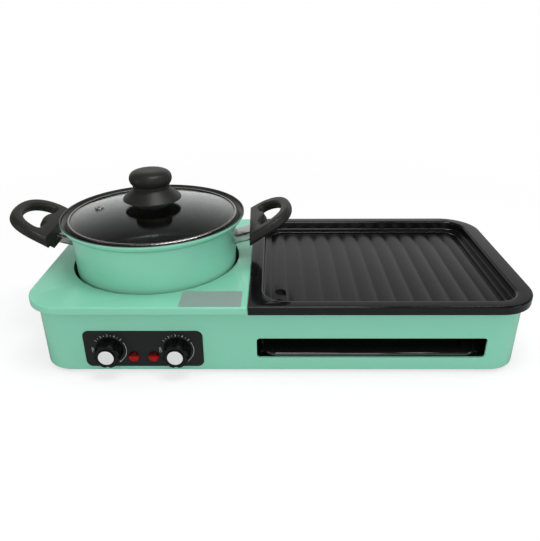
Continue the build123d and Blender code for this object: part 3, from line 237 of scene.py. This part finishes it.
# ================================================================ blank foil label
# A plain silver foil label with its own adhesive, stuck flat on the deck by its front edge and left
# blank. The rolled foil has fine lines along it, which blur what it reflects.
LABEL_LEFT, LABEL_RIGHT = house.x - 118.1 * MM, house.x - 45.4 * MM
LABEL_FRONT, LABEL_BACK = house.y - 141.6 * MM, house.y - 103.6 * MM
LABEL_CORNER, LABEL_THICK, LABEL_PROUD = 1.5 * MM, 0.12 * MM, 0.02 * MM
FOIL, FOIL_SHADE, FOIL_SMOOTH, FOIL_ROUGH = "#A0B2AC", "#91A29D", 0.42, 0.62
# the rolled lines are drawn 0.4 mm apart, coarser than they are, so that they show
LINE_LENGTH, LINE_WIDTH = 16.67 * MM, 0.4167 * MM
deck_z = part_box("top_cover")[1].z

silver_foil, tree = blank("silver_label_foil")
where = add(tree, "TexCoord").outputs["Object"]
drawn = add(tree, "Mapping", {"Vector": where, "Scale": (1 / LINE_LENGTH, 1 / LINE_WIDTH,
                                                         1 / LINE_LENGTH)}).outputs[0]
lines = add(tree, "TexNoise", {"Vector": drawn, "Scale": 1.0, "Detail": 2.0}).outputs[0]
rough = add(tree, "MapRange", {0: lines, 3: FOIL_SMOOTH, 4: FOIL_ROUGH}).outputs[0]
tint = add(tree, "Mix", {0: lines, 6: linear(FOIL), 7: linear(FOIL_SHADE)},
           data_type="RGBA").outputs[2]
shader = add(tree, "BsdfPrincipled", {"Base Color": tint, "Metallic": 0.35, "Roughness": rough})
add(tree, "OutputMaterial", {"Surface": shader.outputs[0]})


def points(made):
    """The points among what an operator has made."""
    return [part for part in made["geom"] if isinstance(part, bmesh.types.BMVert)]


label = bmesh.new()
bmesh.ops.create_grid(label, x_segments=1, y_segments=1, size=0.5)
bmesh.ops.scale(label, vec=(LABEL_RIGHT - LABEL_LEFT, LABEL_BACK - LABEL_FRONT, 1),
                verts=label.verts)
bmesh.ops.bevel(label, geom=label.verts[:], offset=LABEL_CORNER, segments=4, profile=0.5,
                affect="VERTICES", material=-1)
raised = bmesh.ops.extrude_face_region(label, geom=label.faces[:])
bmesh.ops.translate(label, vec=(0, 0, LABEL_THICK), verts=points(raised))
bmesh.ops.recalc_face_normals(label, faces=label.faces)
bmesh.ops.translate(label, verts=label.verts,
                    vec=((LABEL_LEFT + LABEL_RIGHT) / 2, (LABEL_FRONT + LABEL_BACK) / 2,
                         deck_z + LABEL_PROUD))
piece("blank_label", label, silver_foil, "housing")

# ================================================================ control panel and its print
# The panel is a black ABS moulding with a fine satin face, which shows only a dull sheen. Round
# each dial a scale is pad printed in a pale ink that dries matt: OFF on the left, dots and numbers
# across the top, and a line with an arrow to the hottest setting.
black_abs = moulded("black_moulded_abs", "#202222", 0.34, 6.0, 0.03,
                    more={"Specular IOR Level": 0.22})
dress(["control_panel", "cord_gland"], black_abs)

pale_ink = moulded("pale_printing_ink", "#C6C9C6", 0.6, 1.0, 0.01)
panel_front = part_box("control_panel")[0].y
PRINT_PROUD, PRINT_THICK = 0.01 * MM, 0.04 * MM
SCALE_R, LETTER, LINE, ARROW_R, DOT_R = 20.2 * MM, 4.2 * MM, 0.48 * MM, 1.4 * MM, 0.5 * MM
# the places round the scale are hours of a clock face
WORDS = (("OFF", 9.0), ("1", 10.3), ("2", 11.1), ("3", 11.9), ("4", 12.7), ("5", 13.5))
DOTS = (10.7, 11.5, 12.3, 13.1)
LINES = ((7.9, 8.35), (13.95, 16.8))
ARROW = 16.9


def letters(text, size):
    """A short text as a flat mesh with its middle at the origin."""
    outline = bpy.data.curves.new("letters", "FONT")
    outline.body = text
    outline.size = size
    outline.align_x = outline.align_y = "CENTER"
    holder = bpy.data.objects.new("letters", outline)
    mesh = bpy.data.meshes.new_from_object(holder)
    bpy.data.objects.remove(holder)
    return mesh


def round_the_dial(clock):
    """The turn that takes a mark drawn at the middle out to the scale, at this hour."""
    turn = Matrix.Rotation(-clock / 12 * tau, 4, "Z")
    return turn @ Matrix.Translation((0, SCALE_R, 0))


def dial_print(name, axis):
    """The printed scale round one dial: a word, numbers, dots, and two lines with an arrow."""
    scale = bmesh.new()
    for text, clock in WORDS:
        first = len(scale.verts)
        scale.from_mesh(letters(text, LETTER))
        scale.verts.ensure_lookup_table()
        bmesh.ops.transform(scale, matrix=round_the_dial(clock), verts=scale.verts[first:])
    for clock in DOTS:
        bmesh.ops.create_circle(scale, cap_ends=True, segments=12, radius=DOT_R,
                                matrix=round_the_dial(clock))
    for start, end in LINES:
        edge = [scale.verts.new(round_the_dial(start) @ Vector((0, side * LINE / 2, 0)))
                for side in (-1, 1)]
        bmesh.ops.spin(scale, geom=[*edge, scale.edges.new(edge)], axis=(0, 0, -1),
                       angle=(end - start) / 12 * tau, steps=18, use_duplicate=False)
    bmesh.ops.create_circle(scale, cap_ends=True, segments=3, radius=ARROW_R,
                            matrix=round_the_dial(ARROW) @ Matrix.Rotation(-pi / 2, 4, "Z"))
    bmesh.ops.translate(scale, vec=(0, 0, PRINT_PROUD), verts=scale.verts)
    raised = bmesh.ops.extrude_face_region(scale, geom=scale.faces[:])
    bmesh.ops.translate(scale, vec=(0, 0, PRINT_THICK), verts=points(raised))
    bmesh.ops.recalc_face_normals(scale, faces=scale.faces)
    upright = Matrix.Translation((axis.x, panel_front, axis.z)) @ Matrix.Rotation(pi / 2, 4, "X")
    bmesh.ops.transform(scale, matrix=upright, verts=scale.verts)
    piece(name, scale, pale_ink, "housing")


for side in ("left", "right"):
    dial_print(f"dial_print_{side}", sum(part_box(f"knob_shaft_{side}"), Vector()) / 2)

# ================================================================ dials
# Each dial is a black phenolic moulding with fluted sides, pressed on a flatted steel shaft. Its
# polished tool gives it a gloss that draws a bright line down each flute. A matt, pale grey cap
# closes its end, and a fine line on the skirt points at the scale.
knob_phenolic = moulded("black_knob_phenolic", "#0D0E0D", 0.22, 3.0, 0.03,
                        more={"Specular IOR Level": 0.28})
pale_cap = moulded("pale_grey_cap_plastic", "#DADCDA", 0.5, 2.0, 0.01, flow=0.01)
dress(["knob_left", "knob_right"], knob_phenolic)
dress(["knob_cap_left", "knob_cap_right"], pale_cap)

POINTER_HOUR, POINTER_IN, POINTER_OUT = 9.0, 14.3 * MM, 16.8 * MM
POINTER_WIDTH, POINTER_THICK, POINTER_EDGE = 0.8 * MM, 0.1 * MM, 0.03 * MM
SKIRT_FACE = 3.0 * MM                       # the skirt's front face, ahead of the panel
for side in ("left", "right"):
    axis = sum(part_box(f"knob_shaft_{side}"), Vector()) / 2
    pointer = bmesh.new()
    bmesh.ops.create_cube(pointer, size=1.0)
    bmesh.ops.scale(pointer, vec=(POINTER_WIDTH, POINTER_OUT - POINTER_IN, POINTER_THICK),
                    verts=pointer.verts)
    bmesh.ops.bevel(pointer, geom=pointer.edges[:], offset=POINTER_EDGE, segments=2, profile=0.5,
                    affect="EDGES", material=-1)
    place = (Matrix.Translation((axis.x, panel_front - SKIRT_FACE, axis.z))
             @ Matrix.Rotation(pi / 2, 4, "X") @ Matrix.Rotation(-POINTER_HOUR / 12 * tau, 4, "Z")
             @ Matrix.Translation((0, (POINTER_IN + POINTER_OUT) / 2, 0)))
    bmesh.ops.transform(pointer, matrix=place, verts=pointer.verts)
    piece(f"dial_pointer_{side}", pointer, pale_ink, f"dial_{side}")

# ================================================================ indicator lamps
# Each lamp has a clear red acrylic lens, pushed into its hole in the panel. Its top is painted
# darker, a painted shade, and small facets moulded in its back scatter the red.
SHADE_FROM, SHADE_TO, LENS_FACET = 0.3 * MM, 3.4 * MM, 1.4 * MM
# the lens's own red, a deeper red for its facets, and a dark red painted over its top as shade
LENS_RED, LENS_FACET_RED, PAINTED_SHADE_RED = "#B0140F", "#93100D", "#3C0505"
ACRYLIC_IOR = 1.49
red_lens, tree = blank("red_acrylic_lens")
where = add(tree, "TexCoord").outputs["Object"]
up = add(tree, "SeparateXYZ", {0: where}).outputs[2]
lamp_z = (sum(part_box("lamp_left"), Vector()) / 2).z
# painted shade: the lens's colour turns to the dark red towards its top
shade = add(tree, "MapRange", {0: up, 1: lamp_z + SHADE_FROM, 2: lamp_z + SHADE_TO}).outputs[0]
facets = add(tree, "TexVoronoi", {"Vector": where, "Scale": 1 / LENS_FACET}).outputs[0]
faceted_red = add(tree, "Mix", {0: facets, 6: linear(LENS_RED), 7: linear(LENS_FACET_RED)},
          data_type="RGBA").outputs[2]
tint = add(tree, "Mix", {0: shade, 6: faceted_red, 7: linear(PAINTED_SHADE_RED)}, data_type="RGBA").outputs[2]
shader = add(tree, "BsdfPrincipled", {"Base Color": tint, "Roughness": 0.12, "IOR": ACRYLIC_IOR,
                                      "Specular IOR Level": 0.16})
add(tree, "OutputMaterial", {"Surface": shader.outputs[0]})
dress(["lamp_left", "lamp_right"], red_lens)

# ================================================================ underside
# The bottom plate is hot-dip zinc coated sheet steel, held by six plated pan-head screws with
# crossed slots. The cooker stands on four rubber feet pushed through the plate.

# the zinc sets in a spangle, whose crystals are lighter and duller towards their edges
SPANGLE = 9 * MM
ZINC, ZINC_EDGE, ZINC_SMOOTH, ZINC_ROUGH = "#A9ADAF", "#C3C6C7", 0.32, 0.5
bright_zinc, tree = blank("bright_zinc_plate")
where = add(tree, "TexCoord").outputs["Object"]
spangle = add(tree, "TexVoronoi", {"Vector": where, "Scale": 1 / SPANGLE}, feature="SMOOTH_F1")
tint = add(tree, "Mix", {0: spangle.outputs[0], 6: linear(ZINC), 7: linear(ZINC_EDGE)},
           data_type="RGBA").outputs[2]
rough = add(tree, "MapRange", {0: spangle.outputs[0], 3: ZINC_SMOOTH, 4: ZINC_ROUGH}).outputs[0]
shader = add(tree, "BsdfPrincipled", {"Base Color": tint, "Metallic": 1.0, "Roughness": rough})
add(tree, "OutputMaterial", {"Surface": shader.outputs[0]})
dress(["bottom_plate", "heater_dish", "heat_shield", "reflector_pan", "tray_rail_left",
       "tray_rail_right"], bright_zinc)

# moulded rubber is dull all over
foot_rubber = moulded("black_foot_rubber", "#232323", 0.75, 1.5, 0.06)
dress([f"foot_{end}_{side}" for end in ("front", "rear") for side in ("left", "right")],
      foot_rubber)

# bright plating is nearly a mirror, with a slight haze here and there
PLATING, PLATING_SMOOTH, PLATING_ROUGH = "#B9B8B5", 0.08, 0.18
PLATING_HAZE = 7.143 * MM
plated_steel, tree = blank("bright_plated_steel")
where = add(tree, "TexCoord").outputs["Object"]
haze = add(tree, "TexNoise", {"Vector": where, "Scale": 1 / PLATING_HAZE, "Detail": 3.0}).outputs[0]
rough = add(tree, "MapRange", {0: haze, 3: PLATING_SMOOTH, 4: PLATING_ROUGH}).outputs[0]
shader = add(tree, "BsdfPrincipled", {"Base Color": linear(PLATING), "Metallic": 1.0,
                                      "Roughness": rough})
add(tree, "OutputMaterial", {"Surface": shader.outputs[0]})
dress(["knob_shaft_left", "knob_shaft_right", "handle_bracket_left", "handle_bracket_right",
       "lid_screw", "heater_studs"], plated_steel)

SCREW_HEAD_R, SCREW_HEAD, HEAD_ROUNDING = 3.5 * MM, 1.8 * MM, 0.81 * MM
SLOT_HALF, SLOT_REACH, SLOT_DEPTH = 0.63 * MM, 1.925 * MM, 0.99 * MM
SCREW_ROWS, SCREW_SIDE = (-260 * MM, -60 * MM, 200 * MM), 126 * MM


def flat_top(head):
    """The faces of a screw head's flat top."""
    return [face for face in head.faces if abs(face.normal.z) > 0.99
            and face.calc_center_median().z > SCREW_HEAD / 2]


def cross_head():
    """The mesh of a pan-head screw's head with a crossed slot, its flat side down."""
    head = bmesh.new()
    bmesh.ops.create_circle(head, cap_ends=True, segments=24, radius=SCREW_HEAD_R)
    top = bmesh.ops.extrude_face_region(head, geom=head.faces[:])
    bmesh.ops.translate(head, vec=(0, 0, SCREW_HEAD), verts=points(top))
    head.normal_update()
    bmesh.ops.bevel(head, geom=flat_top(head)[0].edges[:], offset=HEAD_ROUNDING, segments=3,
                    profile=0.5, affect="EDGES", material=-1)
    for across in (Vector((1, 0, 0)), Vector((0, 1, 0))):
        for cut in (-SLOT_REACH, -SLOT_HALF, SLOT_HALF, SLOT_REACH):
            head.normal_update()
            flat = flat_top(head)
            rims = {edge for face in flat for edge in face.edges}
            corners = {vert for face in flat for vert in face.verts}
            bmesh.ops.bisect_plane(head, geom=[*flat, *rims, *corners], plane_co=across * cut,
                                   plane_no=across)
    head.normal_update()
    slot = []
    for face in flat_top(head):
        middle = face.calc_center_median()
        near, far = sorted((abs(middle.x), abs(middle.y)))
        if near < SLOT_HALF and far < SLOT_REACH:
            slot.append(face)
    sunk = bmesh.ops.extrude_face_region(head, geom=slot)
    bmesh.ops.translate(head, vec=(0, 0, -SLOT_DEPTH), verts=points(sunk))
    bmesh.ops.delete(head, geom=slot, context="FACES_ONLY")
    mesh = bpy.data.meshes.new("cross_head")
    head.to_mesh(mesh)
    head.free()
    return mesh


plate_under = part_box("bottom_plate")[0].z
screw_head = cross_head()
screws = bmesh.new()
for x in SCREW_ROWS:
    for y in (-SCREW_SIDE, SCREW_SIDE):
        place = Matrix.Translation((house.x + x, house.y + y, plate_under))
        first = len(screws.verts)
        screws.from_mesh(screw_head)
        screws.verts.ensure_lookup_table()
        bmesh.ops.transform(screws, matrix=place @ Matrix.Rotation(pi, 4, "X"),
                            verts=screws.verts[first:])
bmesh.ops.recalc_face_normals(screws, faces=screws.faces)
made = piece("bottom_screw_heads", screws, plated_steel, "housing")
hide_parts("bottom_screws")

# ================================================================ thermostats and wiring
# Each thermostat is a brown phenolic case behind the panel. The cream terminal block is moulded in
# a heat-proof polyester, and the wires between them have white silicone sleeves. All three are even
# in colour, with the dull face of an unpolished tool.
brown_phenolic = moulded("brown_case_phenolic", "#3A2A20", 0.45, 2.0, 0.03)
dress(["thermostat_left", "thermostat_right"], brown_phenolic)
cream_polyester = moulded("cream_terminal_polyester", "#D8D0BC", 0.5, 2.0, 0.02)
dress(["terminal_block"], cream_polyester)
white_sleeve = moulded("white_silicone_sleeve", "#D5D4CF", 0.6, 1.0, 0.02)
dress(["wiring"], white_sleeve)

# ================================================================ heaters
# The pot's heater is cast aluminium on three studs, its face turned flat in fine rings. The grill's
# heater is a steel-sheathed tube that has gone dark and patchy with heat, held in saddles of white
# steatite.
pot_low, pot_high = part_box("pot_shell")
pot_axis = Vector(((pot_low.x + pot_high.x) / 2, (pot_low.y + pot_high.y) / 2, 0))

# the tool marks are drawn 1.6 mm apart, coarser than a lathe leaves them, so that they show
TOOL_MARKS, TOOL_DEPTH, CAST_GRAIN = 1.6 * MM, 0.03 * MM, 1.5 * MM
WAVE_LENGTH = 0.314                         # of a wave texture at a scale of 1
CAST, CAST_GRAINS, CAST_SMOOTH, CAST_ROUGH = "#9B9C9B", "#AFB0AF", 0.36, 0.52
cast_aluminium, tree = blank("turned_cast_aluminium")
where = add(tree, "TexCoord").outputs["Object"]
centred = add(tree, "Mapping", {"Vector": where, "Location": -pot_axis}).outputs[0]
rings = add(tree, "TexWave", {"Vector": centred, "Scale": WAVE_LENGTH / TOOL_MARKS,
                              "Distortion": 0.3}, wave_type="RINGS", rings_direction="Z").outputs[1]
grain = add(tree, "TexNoise", {"Vector": where, "Scale": 1 / CAST_GRAIN, "Detail": 3.0}).outputs[0]
tint = add(tree, "Mix", {0: grain, 6: linear(CAST), 7: linear(CAST_GRAINS)},
           data_type="RGBA").outputs[2]
rough = add(tree, "MapRange", {0: grain, 3: CAST_SMOOTH, 4: CAST_ROUGH}).outputs[0]
relief = add(tree, "Bump", {"Height": rings, "Strength": 0.4, "Distance": TOOL_DEPTH}).outputs[0]
shader = add(tree, "BsdfPrincipled", {"Base Color": tint, "Metallic": 1.0, "Roughness": rough,
                                      "Normal": relief})
add(tree, "OutputMaterial", {"Surface": shader.outputs[0]})
dress(["pot_heater"], cast_aluminium)

SCORCH, SHEATH, SHEATH_SCORCHED = 14 * MM, "#3E403A", "#56504A"
SHEATH_SMOOTH, SHEATH_ROUGH = 0.4, 0.6
dark_sheath, tree = blank("oxidised_steel_sheath")
where = add(tree, "TexCoord").outputs["Object"]
scorch = add(tree, "TexNoise", {"Vector": where, "Scale": 1 / SCORCH, "Detail": 4.0}).outputs[0]
tint = add(tree, "Mix", {0: scorch, 6: linear(SHEATH), 7: linear(SHEATH_SCORCHED)},
           data_type="RGBA").outputs[2]
rough = add(tree, "MapRange", {0: scorch, 3: SHEATH_SMOOTH, 4: SHEATH_ROUGH}).outputs[0]
shader = add(tree, "BsdfPrincipled", {"Base Color": tint, "Metallic": 0.7, "Roughness": rough})
add(tree, "OutputMaterial", {"Surface": shader.outputs[0]})
dress(["grill_heater"], dark_sheath)

# fired without a glaze, so it is matt and slightly grainy
steatite = moulded("white_steatite_ceramic", "#DED8C9", 0.4, 1.2, 0.03)
dress(["heater_saddles"], steatite)

# ================================================================ grill plate
# One aluminium casting under a black non-stick coat. The coat is sprayed and baked, so it flows out
# to a gloss with a low orange peel, a little duller on the ribs where the spray lands dry.
COAT_PEEL, PEEL_DEPTH, COAT_CLOUD = 2.6 * MM, 0.02 * MM, 30 * MM
COAT, COAT_CLOUDED, COAT_IOR = "#0A0A0B", "#101011", 1.42
RIM_ROUGH, RIB_ROUGH, CLOUD_ROUGH = 0.09, 0.20, 0.04
RIB_DEPTH, WALL_DEPTH = 13.0 * MM, 11.0 * MM    # below the plate's top
POOLED = 0.25                               # how much of the ribs' tilt is left in the gloss
plate_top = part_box("grill_plate")[1].z

plate_coat, tree = blank("black_non_stick_coat")
where = add(tree, "TexCoord").outputs["Object"]
peel = add(tree, "TexNoise", {"Vector": where, "Scale": 1 / COAT_PEEL, "Detail": 2.0}).outputs[0]
cloud = add(tree, "TexNoise", {"Vector": where, "Scale": 1 / COAT_CLOUD, "Detail": 3.0}).outputs[0]
tint = add(tree, "Mix", {0: cloud, 6: linear(COAT), 7: linear(COAT_CLOUDED)},
           data_type="RGBA").outputs[2]
low = add(tree, "SeparateXYZ", {0: where}).outputs[2]
ribs = add(tree, "MapRange", {0: low, 1: plate_top - WALL_DEPTH,
                              2: plate_top - RIB_DEPTH}).outputs[0]
satin = add(tree, "MapRange", {0: ribs, 3: RIM_ROUGH, 4: RIB_ROUGH}).outputs[0]
rough = add(tree, "Math", {0: cloud, 1: CLOUD_ROUGH, 2: satin},
            operation="MULTIPLY_ADD").outputs[0]
# the coat pools between the ribs, so its gloss runs over them in lower waves than the casting's
lower = add(tree, "MapRange", {0: ribs, 3: 1.0, 4: POOLED}).outputs[0]
facing = add(tree, "SeparateXYZ", {0: add(tree, "NewGeometry").outputs["Normal"]}).outputs
sideways = add(tree, "Math", {0: facing[0], 1: lower}, operation="MULTIPLY").outputs[0]
facing = add(tree, "CombineXYZ", {0: sideways, 1: facing[1], 2: facing[2]}).outputs[0]
facing = add(tree, "VectorMath", {0: facing}, operation="NORMALIZE").outputs[0]
relief = add(tree, "Bump", {"Height": peel, "Strength": 0.5, "Distance": PEEL_DEPTH,
                            "Normal": facing}).outputs[0]
shader = add(tree, "BsdfPrincipled", {"Base Color": tint, "Roughness": rough, "IOR": COAT_IOR,
                                      "Normal": relief})
add(tree, "OutputMaterial", {"Surface": shader.outputs[0]})
dress(["grill_plate"], plate_coat)

# ================================================================ drip tray
# A pressed steel tray that slides on two rails by its hems. Its black vitreous enamel is fired to a
# deep gloss, which draws a bright line along its front.
tray_enamel = moulded("black_vitreous_enamel", "#1A1B1A", 0.09, 5.0, 0.03,
                      more={"IOR": 1.6, "Coat Weight": 1.0, "Coat Roughness": 0.05,
                            "Coat IOR": 1.7})
dress(["drip_tray"], tray_enamel)

# ================================================================ pot
# The pot is drawn from aluminium, with a flare and a lip that carry the lid. Outside it has a mint
# enamel with a deep gloss and a low orange peel, and inside and over the lip a dark non-stick coat
# with a satin face.
WALL_LOW_R, WALL_TOP_R, WALL_TOP_Z = 107.0 * MM, 108.5 * MM, 150.5 * MM
FLARE_RISE, FLARE_OUT, LIP_RISE, LIP_OUT = 5.5 * MM, 9.0 * MM, 4.0 * MM, 2.5 * MM
FLARE_TOP_Z = WALL_TOP_Z + FLARE_RISE
SKIN, BASE_ROUNDING, LIP_ROUNDING = 1.0 * MM, 1.2 * MM, 0.5 * MM
MINT, MINT_CLOUD, COATING, COATING_CLOUD = "#89D1B5", "#83CCAF", "#242524", "#2C2D2C"
ENAMEL_ROUGH, COATING_ROUGH = 0.16, 0.32
ENAMEL_PEEL, ENAMEL_PEEL_DEPTH = 5 * MM, 0.03 * MM
CLOUDS = 45.45 * MM

pot_finish, tree = blank("mint_enamel_and_non_stick")
where = add(tree, "TexCoord").outputs["Object"]
centred = add(tree, "VectorMath", {0: where, 1: -pot_axis}).outputs[0]
flat = add(tree, "VectorMath", {0: centred, 1: (1, 1, 0)}, operation="MULTIPLY").outputs[0]
radius = add(tree, "VectorMath", {0: flat}, operation="LENGTH").outputs["Value"]
up = add(tree, "SeparateXYZ", {0: where}).outputs[2]
# the outside's radius at this height: the wall, the flare above its neck, and the lip
wall = add(tree, "MapRange", {0: up, 1: pot_low.z, 2: WALL_TOP_Z, 3: WALL_LOW_R,
                              4: WALL_TOP_R}).outputs[0]
flare = add(tree, "MapRange", {0: up, 1: WALL_TOP_Z, 2: FLARE_TOP_Z, 3: 0.0,
                               4: FLARE_OUT}).outputs[0]
lip = add(tree, "MapRange", {0: up, 1: FLARE_TOP_Z, 2: FLARE_TOP_Z + LIP_RISE, 3: 0.0,
                             4: LIP_OUT}).outputs[0]
wall = add(tree, "Math", {0: wall, 1: flare}).outputs[0]
wall = add(tree, "Math", {0: wall, 1: lip}).outputs[0]
depth = add(tree, "Math", {0: wall, 1: radius}, operation="SUBTRACT").outputs[0]
inside = add(tree, "Math", {0: depth, 1: SKIN}, operation="GREATER_THAN").outputs[0]
above = add(tree, "Math", {0: up, 1: pot_low.z + BASE_ROUNDING},
            operation="GREATER_THAN").outputs[0]
coated = add(tree, "Math", {0: inside, 1: above}, operation="MULTIPLY").outputs[0]
lip_top = add(tree, "Math", {0: up, 1: pot_high.z - LIP_ROUNDING},
              operation="GREATER_THAN").outputs[0]
coated = add(tree, "Math", {0: coated, 1: lip_top}, operation="MAXIMUM").outputs[0]
mottle = add(tree, "TexNoise", {"Vector": where, "Scale": 1 / CLOUDS, "Detail": 3.0}).outputs[0]
mint = add(tree, "Mix", {0: mottle, 6: linear(MINT), 7: linear(MINT_CLOUD)},
           data_type="RGBA").outputs[2]
dark = add(tree, "Mix", {0: mottle, 6: linear(COATING), 7: linear(COATING_CLOUD)},
           data_type="RGBA").outputs[2]
tint = add(tree, "Mix", {0: coated, 6: mint, 7: dark}, data_type="RGBA").outputs[2]
rough = add(tree, "MapRange", {0: coated, 3: ENAMEL_ROUGH, 4: COATING_ROUGH}).outputs[0]
peel = add(tree, "TexNoise", {"Vector": where, "Scale": 1 / ENAMEL_PEEL, "Detail": 2.0}).outputs[0]
relief = add(tree, "Bump", {"Height": peel, "Strength": 0.5,
                            "Distance": ENAMEL_PEEL_DEPTH}).outputs[0]
shader = add(tree, "BsdfPrincipled", {"Base Color": tint, "Roughness": rough, "IOR": 1.5,
                                      "Normal": relief})
add(tree, "OutputMaterial", {"Surface": shader.outputs[0]})
dress(["pot_shell"], pot_finish)

# ================================================================ handles
# Two loops of black phenolic, moulded with full round edges and a satin skin, each on a plated
# bracket that is welded to the pot.
handle_phenolic = moulded("black_handle_phenolic", "#252522", 0.42, 2.5, 0.05,
                          more={"Specular IOR Level": 0.3})
dress(["handle_left", "handle_right"], handle_phenolic)

# ================================================================ lid
# A tempered glass dome in a rolled stainless band, with a steel eyelet for the steam. The knob and
# the cone under it are black phenolic, clamped by a plated screw through a silicone washer.

# the glass is clear, with a very faint green in it and a fire-polished face
GLASS, GLASS_IOR = "#F0F4F2", 1.5
clear_glass, tree = blank("tempered_clear_glass")
shader = add(tree, "BsdfPrincipled", {"Base Color": linear(GLASS), "Roughness": 0.0,
                                      "IOR": GLASS_IOR, "Transmission Weight": 1.0})
add(tree, "OutputMaterial", {"Surface": shader.outputs[0]})
dress(["lid_glass"], clear_glass)

# a satin grain blurs what the steel mirrors; it is drawn 1.1 mm wide, coarser than it is, so that
# it shows
STAINLESS, STAINLESS_SMOOTH, STAINLESS_ROUGH = "#A9A8A4", 0.2, 0.26
SATIN_GRAIN = 1.111 * MM
satin_stainless, tree = blank("satin_stainless_steel")
where = add(tree, "TexCoord").outputs["Object"]
haze = add(tree, "TexNoise", {"Vector": where, "Scale": 1 / SATIN_GRAIN, "Detail": 2.0}).outputs[0]
rough = add(tree, "MapRange", {0: haze, 3: STAINLESS_SMOOTH, 4: STAINLESS_ROUGH}).outputs[0]
shader = add(tree, "BsdfPrincipled", {"Base Color": linear(STAINLESS), "Metallic": 1.0,
                                      "Roughness": rough})
add(tree, "OutputMaterial", {"Surface": shader.outputs[0]})
dress(["lid_band", "steam_vent"], satin_stainless)

# the knob and its cone have the handles' satin black
lid_phenolic = moulded("black_lid_knob_phenolic", "#242522", 0.42, 3.0, 0.04,
                       more={"Specular IOR Level": 0.32})
dress(["lid_knob", "lid_knob_base"], lid_phenolic)

# silicone looks a dull, milky white where it is thick
milky_silicone = moulded("milky_silicone", "#BFC0BC", 0.45, 1.5, 0.02)
dress(["lid_washer"], milky_silicone)
